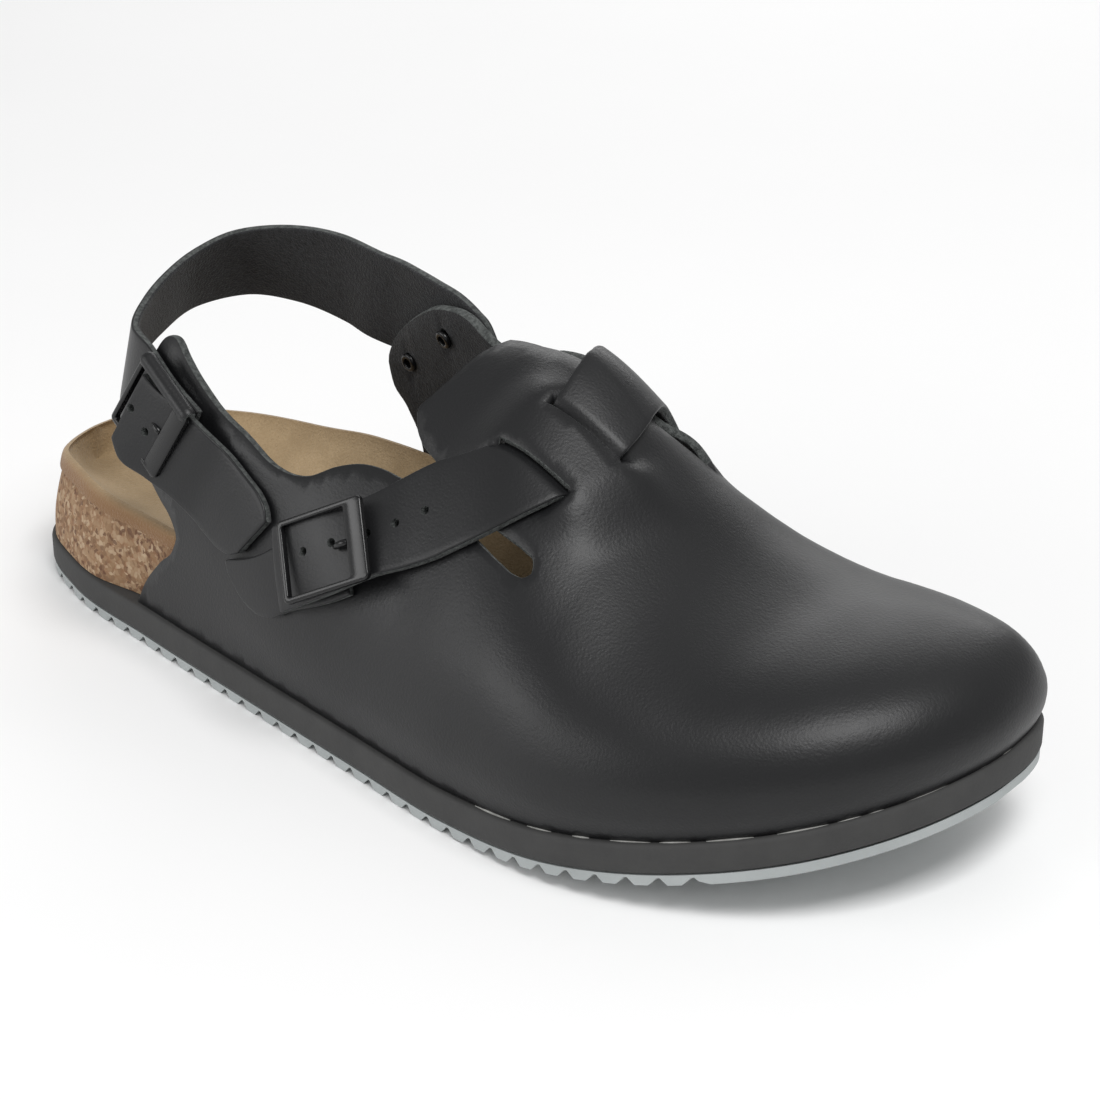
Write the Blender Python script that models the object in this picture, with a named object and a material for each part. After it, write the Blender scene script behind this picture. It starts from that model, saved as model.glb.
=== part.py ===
"""A right chef clog in black leather: sole, cork footbed, hollow upper, two straps and their buckles.

Lengths are in millimetres until the last step. X runs to the toe, Y to the inner side of the foot, Z up.
"""

import math

import bmesh
import bpy
import numpy as np
from mathutils import Vector
from mathutils.geometry import delaunay_2d_cdt

LENGTH = 280.0
BALL = 105.0
INSTEP = 91.0
SOLE = 2.9
MIDSOLE = 7.3
SPRING = 20.0
SPRING_START = 0.59 * LENGTH
GAP = 0.3
LEATHER = 2.2
INSET = 1.5

# along the length, across the ball width
OUTLINE = [
    (0.003, 0.0), (0.027, -0.179), (0.093, -0.275), (0.215, -0.342), (0.356, -0.405),
    (0.499, -0.466), (0.624, -0.519), (0.733, -0.533), (0.840, -0.454), (0.929, -0.297),
    (0.982, -0.090), (0.9995, 0.133), (0.983, 0.318), (0.911, 0.427), (0.786, 0.462),
    (0.661, 0.436), (0.536, 0.358), (0.393, 0.308), (0.250, 0.330), (0.107, 0.314), (0.022, 0.189),
]
# along the length, ridge over the ball width, ridge height over the instep height
RIDGE = [
    (0.16, 0.019, 1.407), (0.214, 0.021, 1.407), (0.268, 0.025, 1.374), (0.321, 0.028, 1.242),
    (0.375, 0.036, 1.121), (0.429, 0.055, 1.044), (0.482, 0.082, 0.995), (0.536, 0.100, 1.0),
    (0.589, 0.096, 0.978), (0.643, 0.086, 0.874), (0.696, 0.081, 0.736), (0.75, 0.083, 0.626),
    (0.804, 0.089, 0.575), (0.857, 0.097, 0.575), (0.911, 0.104, 0.588), (0.964, 0.110, 0.593),
    (1.036, 0.114, 0.549),
]
# share of the way up, then out and up in the heel, instep and toe sections
PROFILE = [
    (0.00, 1.000, 0.00, 1.000, 0.00, 1.000, 0.00),
    (0.15, 0.975, 0.12, 1.014, 0.14, 1.033, 0.196),
    (0.30, 0.935, 0.25, 0.975, 0.29, 1.024, 0.408),
    (0.45, 0.870, 0.40, 0.886, 0.44, 0.948, 0.636),
    (0.60, 0.760, 0.57, 0.724, 0.614, 0.806, 0.806),
    (0.75, 0.570, 0.76, 0.498, 0.794, 0.572, 0.927),
    (0.88, 0.300, 0.92, 0.250, 0.934, 0.284, 0.984),
    (0.95, 0.130, 0.985, 0.110, 0.985, 0.120, 0.997),
    (1.00, 0.0, 1.0, 0.0, 1.0, 0.0, 1.0),
]
MEDIAL_STAND = 0.14
MEDIAL_RISE = 0.18
FAN_START = 200.0
FAN_END = 240.0
# the last's girth over one side of the instep, which turns a share across into millimetres
GIRTH = 95.0


def curve(rows, at):
    """Reads a table at the places given, on a smooth curve through its rows."""
    rows = np.asarray(rows, float)
    x, y = rows[:, 0], rows[:, 1:]
    slope = np.gradient(y, x, axis=0)
    at = np.clip(np.asarray(at, float), x[0], x[-1])
    i = np.clip(np.searchsorted(x, at, side="right") - 1, 0, len(x) - 2)
    h = (x[i + 1] - x[i])[..., None]
    u = (at - x[i])[..., None] / h
    return (
        (2 * u**3 - 3 * u**2 + 1) * y[i]
        + (u**3 - 2 * u**2 + u) * h * slope[i]
        + (3 * u**2 - 2 * u**3) * y[i + 1]
        + (u**3 - u**2) * h * slope[i + 1]
    )


def smooth(x, start, end):
    """Goes softly from 0 at start to 1 at end."""
    t = np.clip((np.asarray(x, float) - start) / (end - start), 0, 1)
    return t * t * (3 - 2 * t)


def lengths(points):
    """The length run at each point of a line."""
    return np.r_[0, np.cumsum(np.linalg.norm(np.diff(points, axis=0), axis=1))]


def outline(count, inset=0.0):
    """The sole seen from above, heel point first, drawn in by an inset."""
    rows = np.array(OUTLINE) * (LENGTH, BALL)
    rows = np.vstack([rows[-3:], rows, rows[:4]])
    run = lengths(rows)
    at = np.linspace(run[3], run[-4], count, endpoint=False)
    points = curve(np.c_[run, rows], at)
    along = np.roll(points, -1, 0) - np.roll(points, 1, 0)
    inward = np.c_[-along[:, 1], along[:, 0]] / np.linalg.norm(along, axis=1)[:, None]
    return points + inward * np.asarray(inset, float).reshape(-1, 1)


def spring(x):
    """How far the toe lifts off the floor."""
    rise = np.clip((np.asarray(x, float) - SPRING_START) / (LENGTH - SPRING_START), 0, None)
    return SPRING * rise**1.8


def base(x):
    """The height of the midsole's top."""
    return spring(x) + SOLE + MIDSOLE


EDGE = outline(1200, INSET)
EDGE = EDGE[np.argmax(EDGE[:, 0] > 45) : len(EDGE) - np.argmax(EDGE[::-1, 0] > 45)]
EDGE_RUN = lengths(EDGE)
TIP = int(np.argmax(EDGE[:, 0]))


def run_at(x, side):
    """The place along the foot edge for an x, on the outer (-1) or inner (1) side."""
    if side < 0:
        return np.interp(x, EDGE[: TIP + 1, 0], EDGE_RUN[: TIP + 1])
    return np.interp(x, EDGE[:TIP:-1, 0], EDGE_RUN[:TIP:-1])


def edge_and_ridge(run):
    """The foot edge's point and the ridge's point it belongs to; round the toe the ridge points draw together."""
    edge = np.stack([np.interp(run, EDGE_RUN, EDGE[:, k]) for k in (0, 1)], -1)
    reach = FAN_END - FAN_START
    x = edge[..., 0]
    fanned = FAN_START + reach * (1 - np.exp(-(np.maximum(x, FAN_START) - FAN_START) / reach))
    x = np.where(x < FAN_START, x, fanned)
    ridge = curve(RIDGE, x / LENGTH)
    return edge, np.stack([x, ridge[..., 0] * BALL], -1)


def on_last(run, up):
    """A point of the last from a place along the foot edge and a share of the way up to the ridge."""
    edge, ridge = edge_and_ridge(run)
    shares = curve(PROFILE, up)
    heel = 1 - smooth(edge[..., 0], 68, 118)
    toe = smooth(edge[..., 0], 150, 230)
    out, rise = (
        heel * shares[..., k] + (1 - heel - toe) * shares[..., k + 2] + toe * shares[..., k + 4]
        for k in (0, 1)
    )
    stand = (run > EDGE_RUN[TIP]) * smooth(edge[..., 0], 60, 90) * (1 - smooth(edge[..., 0], 106, 136))
    out = out + MEDIAL_STAND * stand * np.sin(math.pi * up)
    plan = ridge + (edge - ridge) * out[..., None]
    foot = base(edge[..., 0]) + GAP
    top = curve(RIDGE, plan[..., 0] / LENGTH)[..., 1] * INSTEP * (1 + MEDIAL_RISE * stand)
    return np.concatenate([plan, (foot + (top - foot) * rise)[..., None]], -1)


def on_side(x, across):
    """A point of the last from x and the share across: -1 outer foot, 0 ridge, 1 inner foot."""
    x, across = np.broadcast_arrays(np.asarray(x, float), np.asarray(across, float))
    run = np.where(across < 0, run_at(x, -1), run_at(x, 1))
    return on_last(run, 1 - np.abs(across))


def normal_at(x, across):
    """The last's outward direction."""
    dx = on_side(x + 0.5, across) - on_side(x - 0.5, across)
    dv = on_side(x, across + 0.01) - on_side(x, across - 0.01)
    n = np.cross(dx, dv)
    return n / np.linalg.norm(n, axis=-1)[..., None]


STRAP = 2.4
HEEL_STRAP = 2.1
HEEL_WIDTH = 20.8
LINING, LINING_LIFT = 1.2, 0.48
BRIDGE = 3.8
# least height of the strap beside the bridge, and its distance under the bridge
OVER_SLIT, UNDER_BRIDGE = 1.2, 0.6
GREY, BLACK, CORK = (0.40, 0.43, 0.43), (0.03, 0.03, 0.032), (0.50, 0.31, 0.17)
TAN, METAL = (0.47, 0.35, 0.19), (0.05, 0.05, 0.055)
LUG_FROM, LUG_TO, LUG_PITCH, LUG_DEPTH = 12.0, 236.0, 6.9, 1.9
# share of the pitch, share of the depth
LUG = [(0.0, 0.0), (0.50, 0.0), (0.66, 1.0), (0.80, 1.0)]
HEEL_BEVEL, HEEL_BEVEL_REACH = 2.0, 18.0
TREAD_INSET, PLAIN_STATIONS = 0.3, 14
# inset, height
FOAM_EDGE = [(0.5, 0.0), (0.0, 1.0), (0.0, MIDSOLE - 0.9), (0.6, MIDSOLE)]
# along the length, rim height outside and inside of the foot, how far the rim leans in
RIM = [
    (0.00, 31.0, 31.0, 5.2), (0.07, 32.5, 32.0, 5.2), (0.14, 31.5, 33.5, 5.2), (0.21, 31.5, 36.0, 5.4),
    (0.30, 31.5, 40.0, 5.8), (0.38, 29.0, 41.0, 6.2), (0.46, 26.0, 36.0, 6.0), (0.55, 22.5, 29.0, 5.4),
    (0.66, 20.5, 22.0, 5.0), (0.78, 23.5, 24.0, 5.0), (0.89, 30.5, 30.5, 5.0), (1.00, 38.0, 38.0, 5.0),
]
# along the length, floor height, power of the bowl
FLOOR = [
    (0.00, 21.5, 2.4), (0.14, 20.0, 2.6), (0.30, 22.5, 2.6), (0.42, 22.5, 2.6), (0.55, 19.5, 3.0),
    (0.66, 17.6, 3.0), (0.78, 20.0, 3.0), (0.89, 26.5, 3.0), (1.00, 34.5, 3.0),
]
# share of the way up, share of the way in
WALL = [(0.0, 0.0), (0.35, 0.15), (0.7, 0.55), (1.0, 1.0)]
FOOT_INSET, FOOT_UNDER = 1.0, 4.3
# x over the length and share across: -1 outer foot, 0 ridge, 1 inner foot
QUARTERS = [
    (0.198, -1.0), (0.208, -0.94), (0.232, -0.85), (0.253, -0.785), (0.257, -0.75), (0.251, -0.722),
    (0.232, -0.683), (0.206, -0.635), (0.188, -0.61), (0.182, -0.585), (0.190, -0.52), (0.208, -0.42),
    (0.222, -0.375), (0.236, -0.366), (0.250, -0.385), (0.262, -0.400), (0.288, -0.420), (0.334, -0.430),
    (0.370, -0.440), (0.390, -0.433), (0.408, -0.415), (0.431, -0.367), (0.452, -0.336), (0.473, -0.323),
    (0.492, -0.323), (0.540, -0.343), (0.592, -0.365), (0.625, -0.371), (0.641, -0.369), (0.651, -0.357),
    (0.6545, -0.340), (0.651, -0.323), (0.638, -0.318), (0.623, -0.322), (0.606, -0.326), (0.585, -0.321),
    (0.560, -0.308), (0.536, -0.290), (0.514, -0.269), (0.496, -0.249), (0.483, -0.222),
    (0.477, -0.197), (0.483, -0.162), (0.490, -0.111), (0.497, -0.05), (0.505, 0.0), (0.513, 0.04),
    (0.527, 0.07), (0.550, 0.085), (0.590, 0.088), (0.620, 0.088), (0.640, 0.095), (0.653, 0.145),
    (0.662, 0.19), (0.668, 0.225), (0.663, 0.247), (0.650, 0.235), (0.636, 0.195), (0.620, 0.165),
    (0.590, 0.145), (0.560, 0.137), (0.540, 0.139), (0.520, 0.147), (0.500, 0.156), (0.479, 0.168),
    (0.457, 0.190), (0.436, 0.228), (0.416, 0.272), (0.396, 0.312), (0.376, 0.345), (0.355, 0.389),
    (0.335, 0.437), (0.320, 0.475), (0.309, 0.508), (0.302, 0.545), (0.304, 0.585), (0.321, 0.635),
    (0.336, 0.70), (0.340, 0.76), (0.325, 0.84),
    (0.290, 0.92), (0.262, 0.965), (0.250, 1.0),
]
# the bridge between the slits: its outer and inner edge, then how far a slit opens
BRIDGE_OUTER = [(0.567, -0.206), (0.648, -0.191)]
BRIDGE_INNER = [(0.584, -0.121), (0.660, -0.086)]
SLIT_OPEN = 0.037
SLIT_OUTER = [*BRIDGE_OUTER, *[(x, v - SLIT_OPEN) for x, v in BRIDGE_OUTER[::-1]]]
SLIT_INNER = [*BRIDGE_INNER, *[(x, v + SLIT_OPEN) for x, v in BRIDGE_INNER[::-1]]]
# the middle of the slot beside the flap on the inner side
INNER_SLOT = [(0.50, 0.11), (0.60, 0.117), (0.64, 0.15), (0.67, 0.24)]
# soft rises of the inner side: x over the length, share across, height, reach along and across in millimetres
SWELLS = [
    (0.430, 0.26, 2.4, 14.0, 10.0), (0.490, 0.165, 2.0, 14.0, 9.0), (0.548, 0.14, 3.2, 10.0, 8.0),
    (0.590, 0.15, 1.5, 8.0, 7.0), (0.652, 0.20, 2.8, 5.0, 8.0),
]
# x over the length, share across
RIVET_LOW, RIVET_HIGH = (0.332, 0.517), (0.389, 0.385)
RIVET_HOLE = 1.8
# both edges of a strap as (x, across), and the height it lies at
INSTEP_STRAP = [
    (0.384, -0.535, 0.423, -0.725, 2.6, 2.6), (0.410, -0.510, 0.446, -0.672, 2.6, 2.6),
    (0.446, -0.445, 0.482, -0.592, 2.6, 2.6), (0.485, -0.374, 0.518, -0.516, 2.5, 2.4),
    (0.505, -0.324, 0.545, -0.470, 0.9, 0.9), (0.527, -0.281, 0.573, -0.423, 0.4, 0.4),
    (0.552, -0.255, 0.610, -0.337, 0.4, 0.5), (0.575, -0.230, 0.638, -0.220, 0.4, 1.0),
    (0.591, -0.102, 0.652, -0.080, 0.4, 0.4), (0.580, 0.025, 0.641, 0.045, 2.2, 1.2),
    (0.571, 0.135, 0.628, 0.160, 3.4, 1.5), (0.566, 0.28, 0.625, 0.30, 2.2, 0.9),
    (0.560, 0.50, 0.628, 0.515, 0.5, 0.5), (0.556, 0.70, 0.627, 0.71, 0.4, 0.4), (0.554, 0.88, 0.625, 0.885, 0.4, 0.4),
]
BUCKLE_PATCH = [
    (0.339, -0.700, 0.345, -0.725, 0.3), (0.345, -0.690, 0.366, -0.765, 0.3), (0.358, -0.672, 0.384, -0.778, 0.3),
    (0.376, -0.640, 0.405, -0.765, 0.3), (0.398, -0.585, 0.428, -0.715, 0.3), (0.425, -0.495, 0.460, -0.650, 0.3),
    (0.460, -0.430, 0.494, -0.575, 0.3),
]
HEEL_TONGUE = [
    (0.236, -0.445, 0.216, -0.585, 3.6), (0.256, -0.450, 0.232, -0.603, 3.6), (0.280, -0.453, 0.252, -0.617, 3.2),
    (0.300, -0.460, 0.270, -0.632, 2.6), (0.324, -0.472, 0.292, -0.655, 0.8), (0.350, -0.488, 0.316, -0.675, 0.4),
    (0.370, -0.502, 0.334, -0.682, 0.4), (0.380, -0.520, 0.346, -0.676, 0.4), (0.385, -0.542, 0.358, -0.655, 0.4),
]
# the heel strap's outer face: on the outer tab, free behind the heel, then on the inner tab
HEEL_OUTER = [
    (0.284, -0.448, 0.256, -0.610, 2.6), (0.250, -0.430, 0.222, -0.598, 2.7), (0.216, -0.395, 0.190, -0.575, 3.0),
]
# along, across, up, lean in degrees, width over the strap's width
HEEL_FREE = [
    (0.1600, -0.210, 0.777, 14, 1.0), (0.138, -0.115, 0.804, 17, 1.0), (0.124, 0.0, 0.833, 20, 1.0),
    (0.119, 0.124, 0.859, 24, 1.0), (0.139, 0.230, 0.882, 22, 1.03), (0.186, 0.290, 0.894, 16, 1.125),
    (0.244, 0.318, 0.882, 10, 1.23),
]
HEEL_INNER = [
    (0.299, 0.357, 0.274, 0.520, 3.8), (0.319, 0.350, 0.296, 0.535, 4.0), (0.345, 0.330, 0.323, 0.525, 4.0),
    (0.372, 0.313, 0.350, 0.495, 3.8), (0.397, 0.298, 0.376, 0.458, 3.4), (0.418, 0.280, 0.400, 0.414, 3.0),
    (0.433, 0.265, 0.420, 0.372, 2.6), (0.438, 0.285, 0.432, 0.330, 2.6),
]
# corners of the buckle frames as x over the length, share across and height: far top, plate top, plate foot, far foot
INSTEP_FRAME = [(0.4084, -0.5129, 5.13), (0.4884, -0.3847, 7.48), (0.5263, -0.51, 5.31), (0.4509, -0.6664, 7.19)]
HEEL_FRAME = [(0.2284, -0.3861, 5.95), (0.2904, -0.4498, 6.10), (0.2613, -0.5989, 5.92), (0.1953, -0.5397, 6.11)]
FRAME_BAR, FRAME_PLATE, FRAME_THICK, FRAME_LIFT = 1.4, 5.2, 1.6, 0.5
# reach from the plate, height over the frame's foot, radius
PRONG = [(0.0, 0.9, 0.5), (-0.2, 0.9, 0.75), (-3.2, 0.7, 0.7), (-4.0, 0.5, 0.45)]
# radius, height off the tab's outer face
RIVET = [(0.75, -3.3), (2.0, -3.3), (2.4, -3.0), (2.4, -2.5), (1.2, -2.5), (1.2, -0.3), (0.75, -0.3)]


def solid(name, points, faces, colour):
    """An object from points and faces, its faces turned outward."""
    mesh = bpy.data.meshes.new(name)
    mesh.from_pydata([tuple(p) for p in points], [], [tuple(int(i) for i in f) for f in faces])
    mesh.validate()
    body = bpy.data.objects.new(name, mesh)
    bpy.context.collection.objects.link(body)
    made = bmesh.new()
    made.from_mesh(mesh)
    bmesh.ops.recalc_face_normals(made, faces=made.faces)
    made.to_mesh(mesh)
    made.free()
    surface = bpy.data.materials.new(name)
    surface.use_nodes = True
    shader = surface.node_tree.nodes["Principled BSDF"]
    shader.inputs["Base Color"].default_value = (*colour, 1)
    shader.inputs["Roughness"].default_value = 0.6
    mesh.materials.append(surface)
    return body


def cells(grid):
    return np.stack([grid[:-1, :-1], grid[1:, :-1], grid[1:, 1:], grid[:-1, 1:]], -1).reshape(-1, 4)


def slab(name, low, high, colour):
    """The solid between two grids of points with the same rows and columns."""
    rows, columns = low.shape[:2]
    index = np.arange(rows * columns).reshape(rows, columns)
    rim = np.r_[index[0, :-1], index[:-1, -1], index[-1, :0:-1], index[:0:-1, 0]]
    after = np.roll(rim, -1)
    count = rows * columns
    faces = np.vstack([
        cells(index), cells(index)[:, ::-1] + count,
        np.stack([rim, rim + count, after + count, after], -1),
    ])
    return solid(name, np.vstack([low.reshape(-1, 3), high.reshape(-1, 3)]), faces, colour)


def across_rows(rows, flip):
    """Triangles between rows of point numbers; the first and last row shrink to one point."""
    faces = []
    for a, b in zip(rows[:-1], rows[1:]):
        if a[0] == a[-1]:
            made = [(a[0], b[k], b[k + 1]) for k in range(len(b) - 1)]
        elif b[0] == b[-1]:
            made = [(a[k], b[0], a[k + 1]) for k in range(len(a) - 1)]
        else:
            made = [t for k in range(len(a) - 1) for t in ((a[k], b[k], b[k + 1]), (a[k], b[k + 1], a[k + 1]))]
        faces += [f[::-1] for f in made] if flip else made
    return faces


def rings(name, levels, colour, across=None):
    """A closed body from outlines one above another, heel point first; the top may be given as rows across."""
    count = len(levels[0])
    half = count // 2
    points = [p for level in levels for p in level]
    faces = []
    for k in range(len(levels) - 1):
        for i in range(count):
            j = (i + 1) % count
            faces.append((k * count + i, k * count + j, (k + 1) * count + j, (k + 1) * count + i))
    top = (len(levels) - 1) * count
    for start, flip in ((0, True), (top, False)):
        rows = [[start + i, start + (count - i) % count] for i in range(half + 1)]
        if across is not None and start == top:
            for i in range(1, half):
                inner = []
                for point in across[i]:
                    inner.append(len(points))
                    points.append(point)
                rows[i] = [rows[i][0], *inner, rows[i][1]]
        faces += across_rows(rows, flip)
    return solid(name, points, faces, colour)


def outsole():
    """A sheet with cross ribs, plain at the heel and beyond the last rib, its heel's lower edge bevelled."""
    edge = outline(1200, TREAD_INSET)
    edge = np.roll(edge, -int(np.argmin(edge[:, 0])), 0)
    tip = int(np.argmax(edge[:, 0]))
    stations, drop = [edge[0, 0] + 0.4, 4, 9], [0, 0, 0]
    x = LUG_FROM
    while x < LUG_TO:
        for share, depth in LUG:
            stations.append(x + share * LUG_PITCH)
            drop.append(depth * LUG_DEPTH)
        x += LUG_PITCH
    last = edge[tip, 0] - 0.4
    plain = last - (last - x - 1.5) * (1 - np.linspace(0, 1, PLAIN_STATIONS)) ** 1.6
    stations, drop = np.r_[stations, plain], np.r_[drop, np.zeros(PLAIN_STATIONS)]
    left = np.interp(stations, edge[: tip + 1, 0], edge[: tip + 1, 1])
    right = np.interp(stations, edge[:tip:-1, 0], edge[:tip:-1, 1])
    y = left[:, None] + (right - left)[:, None] * np.array([0, 1])
    xs = np.repeat(stations[:, None], 2, 1)
    bevel = HEEL_BEVEL * np.clip(1 - xs / HEEL_BEVEL_REACH, 0, 1) ** 2
    under = spring(xs) + bevel + drop[:, None]
    over = spring(xs) + SOLE - GAP
    return slab("outsole", np.stack([xs, y, under], -1), np.stack([xs, y, over], -1), GREY)


def midsole(count=76):
    """The foam layer, its lower and upper edge stepped in a little."""
    floor = spring(outline(count)[:, 0]) + SOLE
    return rings("midsole", [np.c_[outline(count, inset), floor + height] for inset, height in FOAM_EDGE], BLACK)


def footbed_edge(count):
    """At each outline point: x, the rim's height, and the wall's inset at its foot and at the rim."""
    x, y = outline(count).T
    rows = curve(RIM, x / LENGTH)
    foot = FOOT_INSET + (FOOT_UNDER - FOOT_INSET) * smooth(x, 34, 56)
    return x, np.where(y > 0, rows[:, 1], rows[:, 0]), foot, rows[:, 2]


def footbed_top(x, across, rim_low, rim_high):
    """Height of the cork between its two rims: a bowl in the heel, flatter under the toes."""
    floor, hollow = np.moveaxis(curve(FLOOR, x / LENGTH), -1, 0)
    rim = np.where(across < 0, rim_low, rim_high)
    return floor + (rim - floor) * np.abs(across) ** hollow


def footbed(count=60, across=7):
    """The cork block; gives its rim and the rows of points across its top as well."""
    x, rim, foot, lean = footbed_edge(count)
    start = base(x) + GAP
    levels = [np.c_[outline(count, foot + (lean - foot) * bow), start + (rim - start) * up] for up, bow in WALL]
    top = levels[-1]
    half = count // 2
    rows = [None] * (half + 1)
    v = np.linspace(-1, 1, across + 2)[1:-1]
    for i in range(1, half):
        a, b = top[i], top[count - i]
        plan = a + (b - a) * ((v + 1) / 2)[:, None]
        height = footbed_top(plan[:, 0], v, a[2], b[2])
        rows[i] = np.c_[plan[:, :2], height]
    rings("footbed", levels, CORK, rows)
    return top, rows


def lining(top, rows):
    """The suede sheet over the cork, following it one gap above."""
    count = len(top)
    half = count // 2
    under = top + (0, 0, LINING_LIFT)
    over = top + (0, 0, LINING_LIFT + LINING)
    points = [*under, *over]
    faces = [(i, (i + 1) % count, (i + 1) % count + count, i + count) for i in range(count)]
    for lift, start in ((LINING_LIFT, 0), (LINING_LIFT + LINING, count)):
        grid = [[start, start]]
        for i in range(1, half):
            inner = []
            for point in rows[i]:
                inner.append(len(points))
                points.append(point + (0, 0, lift))
            grid.append([start + i, *inner, start + count - i])
        grid.append([start + half, start + half])
        faces += across_rows(grid, start == 0)
    return solid("footbed_lining", points, faces, TAN)


def trace(rows, step):
    """A smooth run of (x, across) points through the rows, about one step apart."""
    rows = np.asarray(rows, float) * (LENGTH, 1)
    run = lengths(rows * (1, 50))
    at = np.linspace(0, run[-1], max(2, int(round(run[-1] / step)) + 1))
    return curve(np.c_[run, rows], at)


def flat(run, up):
    """The last's surface seen flat, where the pattern's points are joined."""
    edge, ridge = edge_and_ridge(run)
    return ridge + (edge - ridge) * (1 - np.asarray(up, float))[..., None]


def flat_side(x, across):
    run = np.where(across < 0, run_at(x, -1), run_at(x, 1))
    return flat(run, 1 - np.abs(across))


def inside(points, loop):
    """Whether each point lies in a closed line."""
    x, y = points[:, 0, None], points[:, 1, None]
    a, b = loop, np.roll(loop, -1, 0)
    over = (a[:, 1] > y) != (b[:, 1] > y)
    with np.errstate(divide="ignore", invalid="ignore"):
        cross = a[:, 0] + (y - a[:, 1]) * (b[:, 0] - a[:, 0]) / (b[:, 1] - a[:, 1])
    return (over & (x < cross)).sum(1) % 2 == 1


def apart(points, loop):
    """Each point's distance from a closed line."""
    a, b = loop, np.roll(loop, -1, 0)
    ab = b - a
    t = np.clip(((points[:, None] - a) * ab).sum(-1) / np.maximum((ab**2).sum(-1), 1e-9), 0, 1)
    return np.linalg.norm(points[:, None] - (a + t[..., None] * ab), axis=-1).min(1)


def bridge(x, across):
    """Heights off the last round the slits: the leather, the bridge alone, and how far in the bridge reaches."""
    outer = np.interp(x, *(np.array(BRIDGE_OUTER) * (LENGTH, 1)).T)
    inner = np.interp(x, *(np.array(BRIDGE_INNER) * (LENGTH, 1)).T)
    along = x - 36.0 * (across + 0.21)
    arch = BRIDGE * smooth(along, 142, 158.5) * (1 - smooth(along, 181, 199))
    ends = 1 - smooth(along, 158.5, 162.5) * (1 - smooth(along, 178.5, 182.5))
    out = np.maximum(np.maximum(outer - across, across - inner), 0)
    beside = arch * ends * (1 - smooth(out, 0.03, 0.13))
    return np.where(out < 0.004, arch, beside), arch, beside, 1 - smooth(out, 0.010, SLIT_OPEN - 0.001)


def swell(x, across):
    """The sum of the soft rises at a place."""
    total = np.zeros(np.shape(x))
    for x0, v0, height, along, aside in SWELLS:
        total += height * np.exp(-(((x - x0 * LENGTH) / along) ** 2) - ((across - v0) * GIRTH / aside) ** 2)
    return total


def relief(x, across):
    """How far the leather stands off the last."""
    slot = np.interp(x, *(np.array(INNER_SLOT) * (LENGTH, 1)).T)
    return bridge(x, across)[0] + swell(x, across) * (across > slot)


# an x beyond every slit and rise, for points of the leather's foot
OFF_THE_PATTERN = 999.0


def pattern_rims():
    """The pattern's rims, each in the flattened view, on the last and as (x, across); the outside comes first."""
    loop_rows = trace(QUARTERS, 3.4)
    foot = np.arange(run_at(loop_rows[-1, 0], 1), run_at(loop_rows[0, 0], -1), -5.2)[1:]
    loop = flat_side(loop_rows[:, 0], loop_rows[:, 1])
    loop_3d = on_side(loop_rows[:, 0], loop_rows[:, 1])
    rest = flat(foot, np.zeros(len(foot)))
    rest_3d = on_last(foot, np.zeros(len(foot)))
    places = np.vstack([loop_rows, np.c_[np.full(len(foot), OFF_THE_PATTERN), np.ones(len(foot))]])
    rims = [(np.vstack([loop, rest]), np.vstack([loop_3d, rest_3d]), places)]
    holes = []
    for slit in (SLIT_OUTER, SLIT_INNER):
        sides = zip(np.array(slit), np.roll(np.array(slit), -1, 0), (7, 1, 7, 1))
        rows = [a + (b - a) * np.linspace(0, 1, n, endpoint=False)[:, None] for a, b, n in sides]
        holes.append(np.vstack(rows) * (LENGTH, 1))
    turn = np.linspace(0, 2 * math.pi, 8, endpoint=False)
    for x, v in (RIVET_LOW, RIVET_HIGH):
        holes.append(np.c_[x * LENGTH + RIVET_HOLE * np.cos(turn), v + RIVET_HOLE / GIRTH * np.sin(turn)])
    rims += [(flat_side(*rows.T), on_side(*rows.T), rows) for rows in holes]
    return rims


def fill_places(rims):
    """Places of the leather between the rims, closer together round the slits."""
    ups = [0.08, 0.18, 0.29, 0.40, 0.50, 0.59, 0.67, 0.75, 0.83, 0.91]
    run, up = (g.ravel() for g in np.meshgrid(np.linspace(0, EDGE_RUN[-1], 78), ups, indexing="ij"))
    ridge_run = run_at(np.arange(136.0, FAN_END - 6, 6.5), -1)
    run, up = np.r_[run, ridge_run], np.r_[up, np.ones(len(ridge_run))]
    x = edge_and_ridge(run)[0][:, 0]
    where = np.c_[x, np.where(run < EDGE_RUN[TIP], up - 1, 1 - up)]
    near = (x > 148) & (x < 196) & (where[:, 1] > -0.36) & (where[:, 1] < 0.1)
    fine = np.meshgrid(np.arange(150, 196, 3.9), np.arange(-0.34, 0.09, 0.034), indexing="ij")
    fine = np.stack(fine, -1).reshape(-1, 2)
    counts = [int((~near).sum()), len(fine)]
    where = np.vstack([where[~near], fine])
    clear = np.repeat([1.9, 0.75], counts)
    far = np.repeat([2.6, 1.3], counts)
    plan = flat_side(where[:, 0], where[:, 1])
    keep = inside(plan, rims[0][0])
    for rim, _, _ in rims:
        keep &= apart(plan, rim) > clear
    for rim, _, _ in rims[1:]:
        keep &= ~inside(plan, rim)
    chosen = []
    for i in np.nonzero(keep)[0][::-1]:
        if not chosen or np.linalg.norm(plan[chosen] - plan[i], axis=1).min() > far[i]:
            chosen.append(i)
    return where[chosen], plan[chosen]


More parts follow.
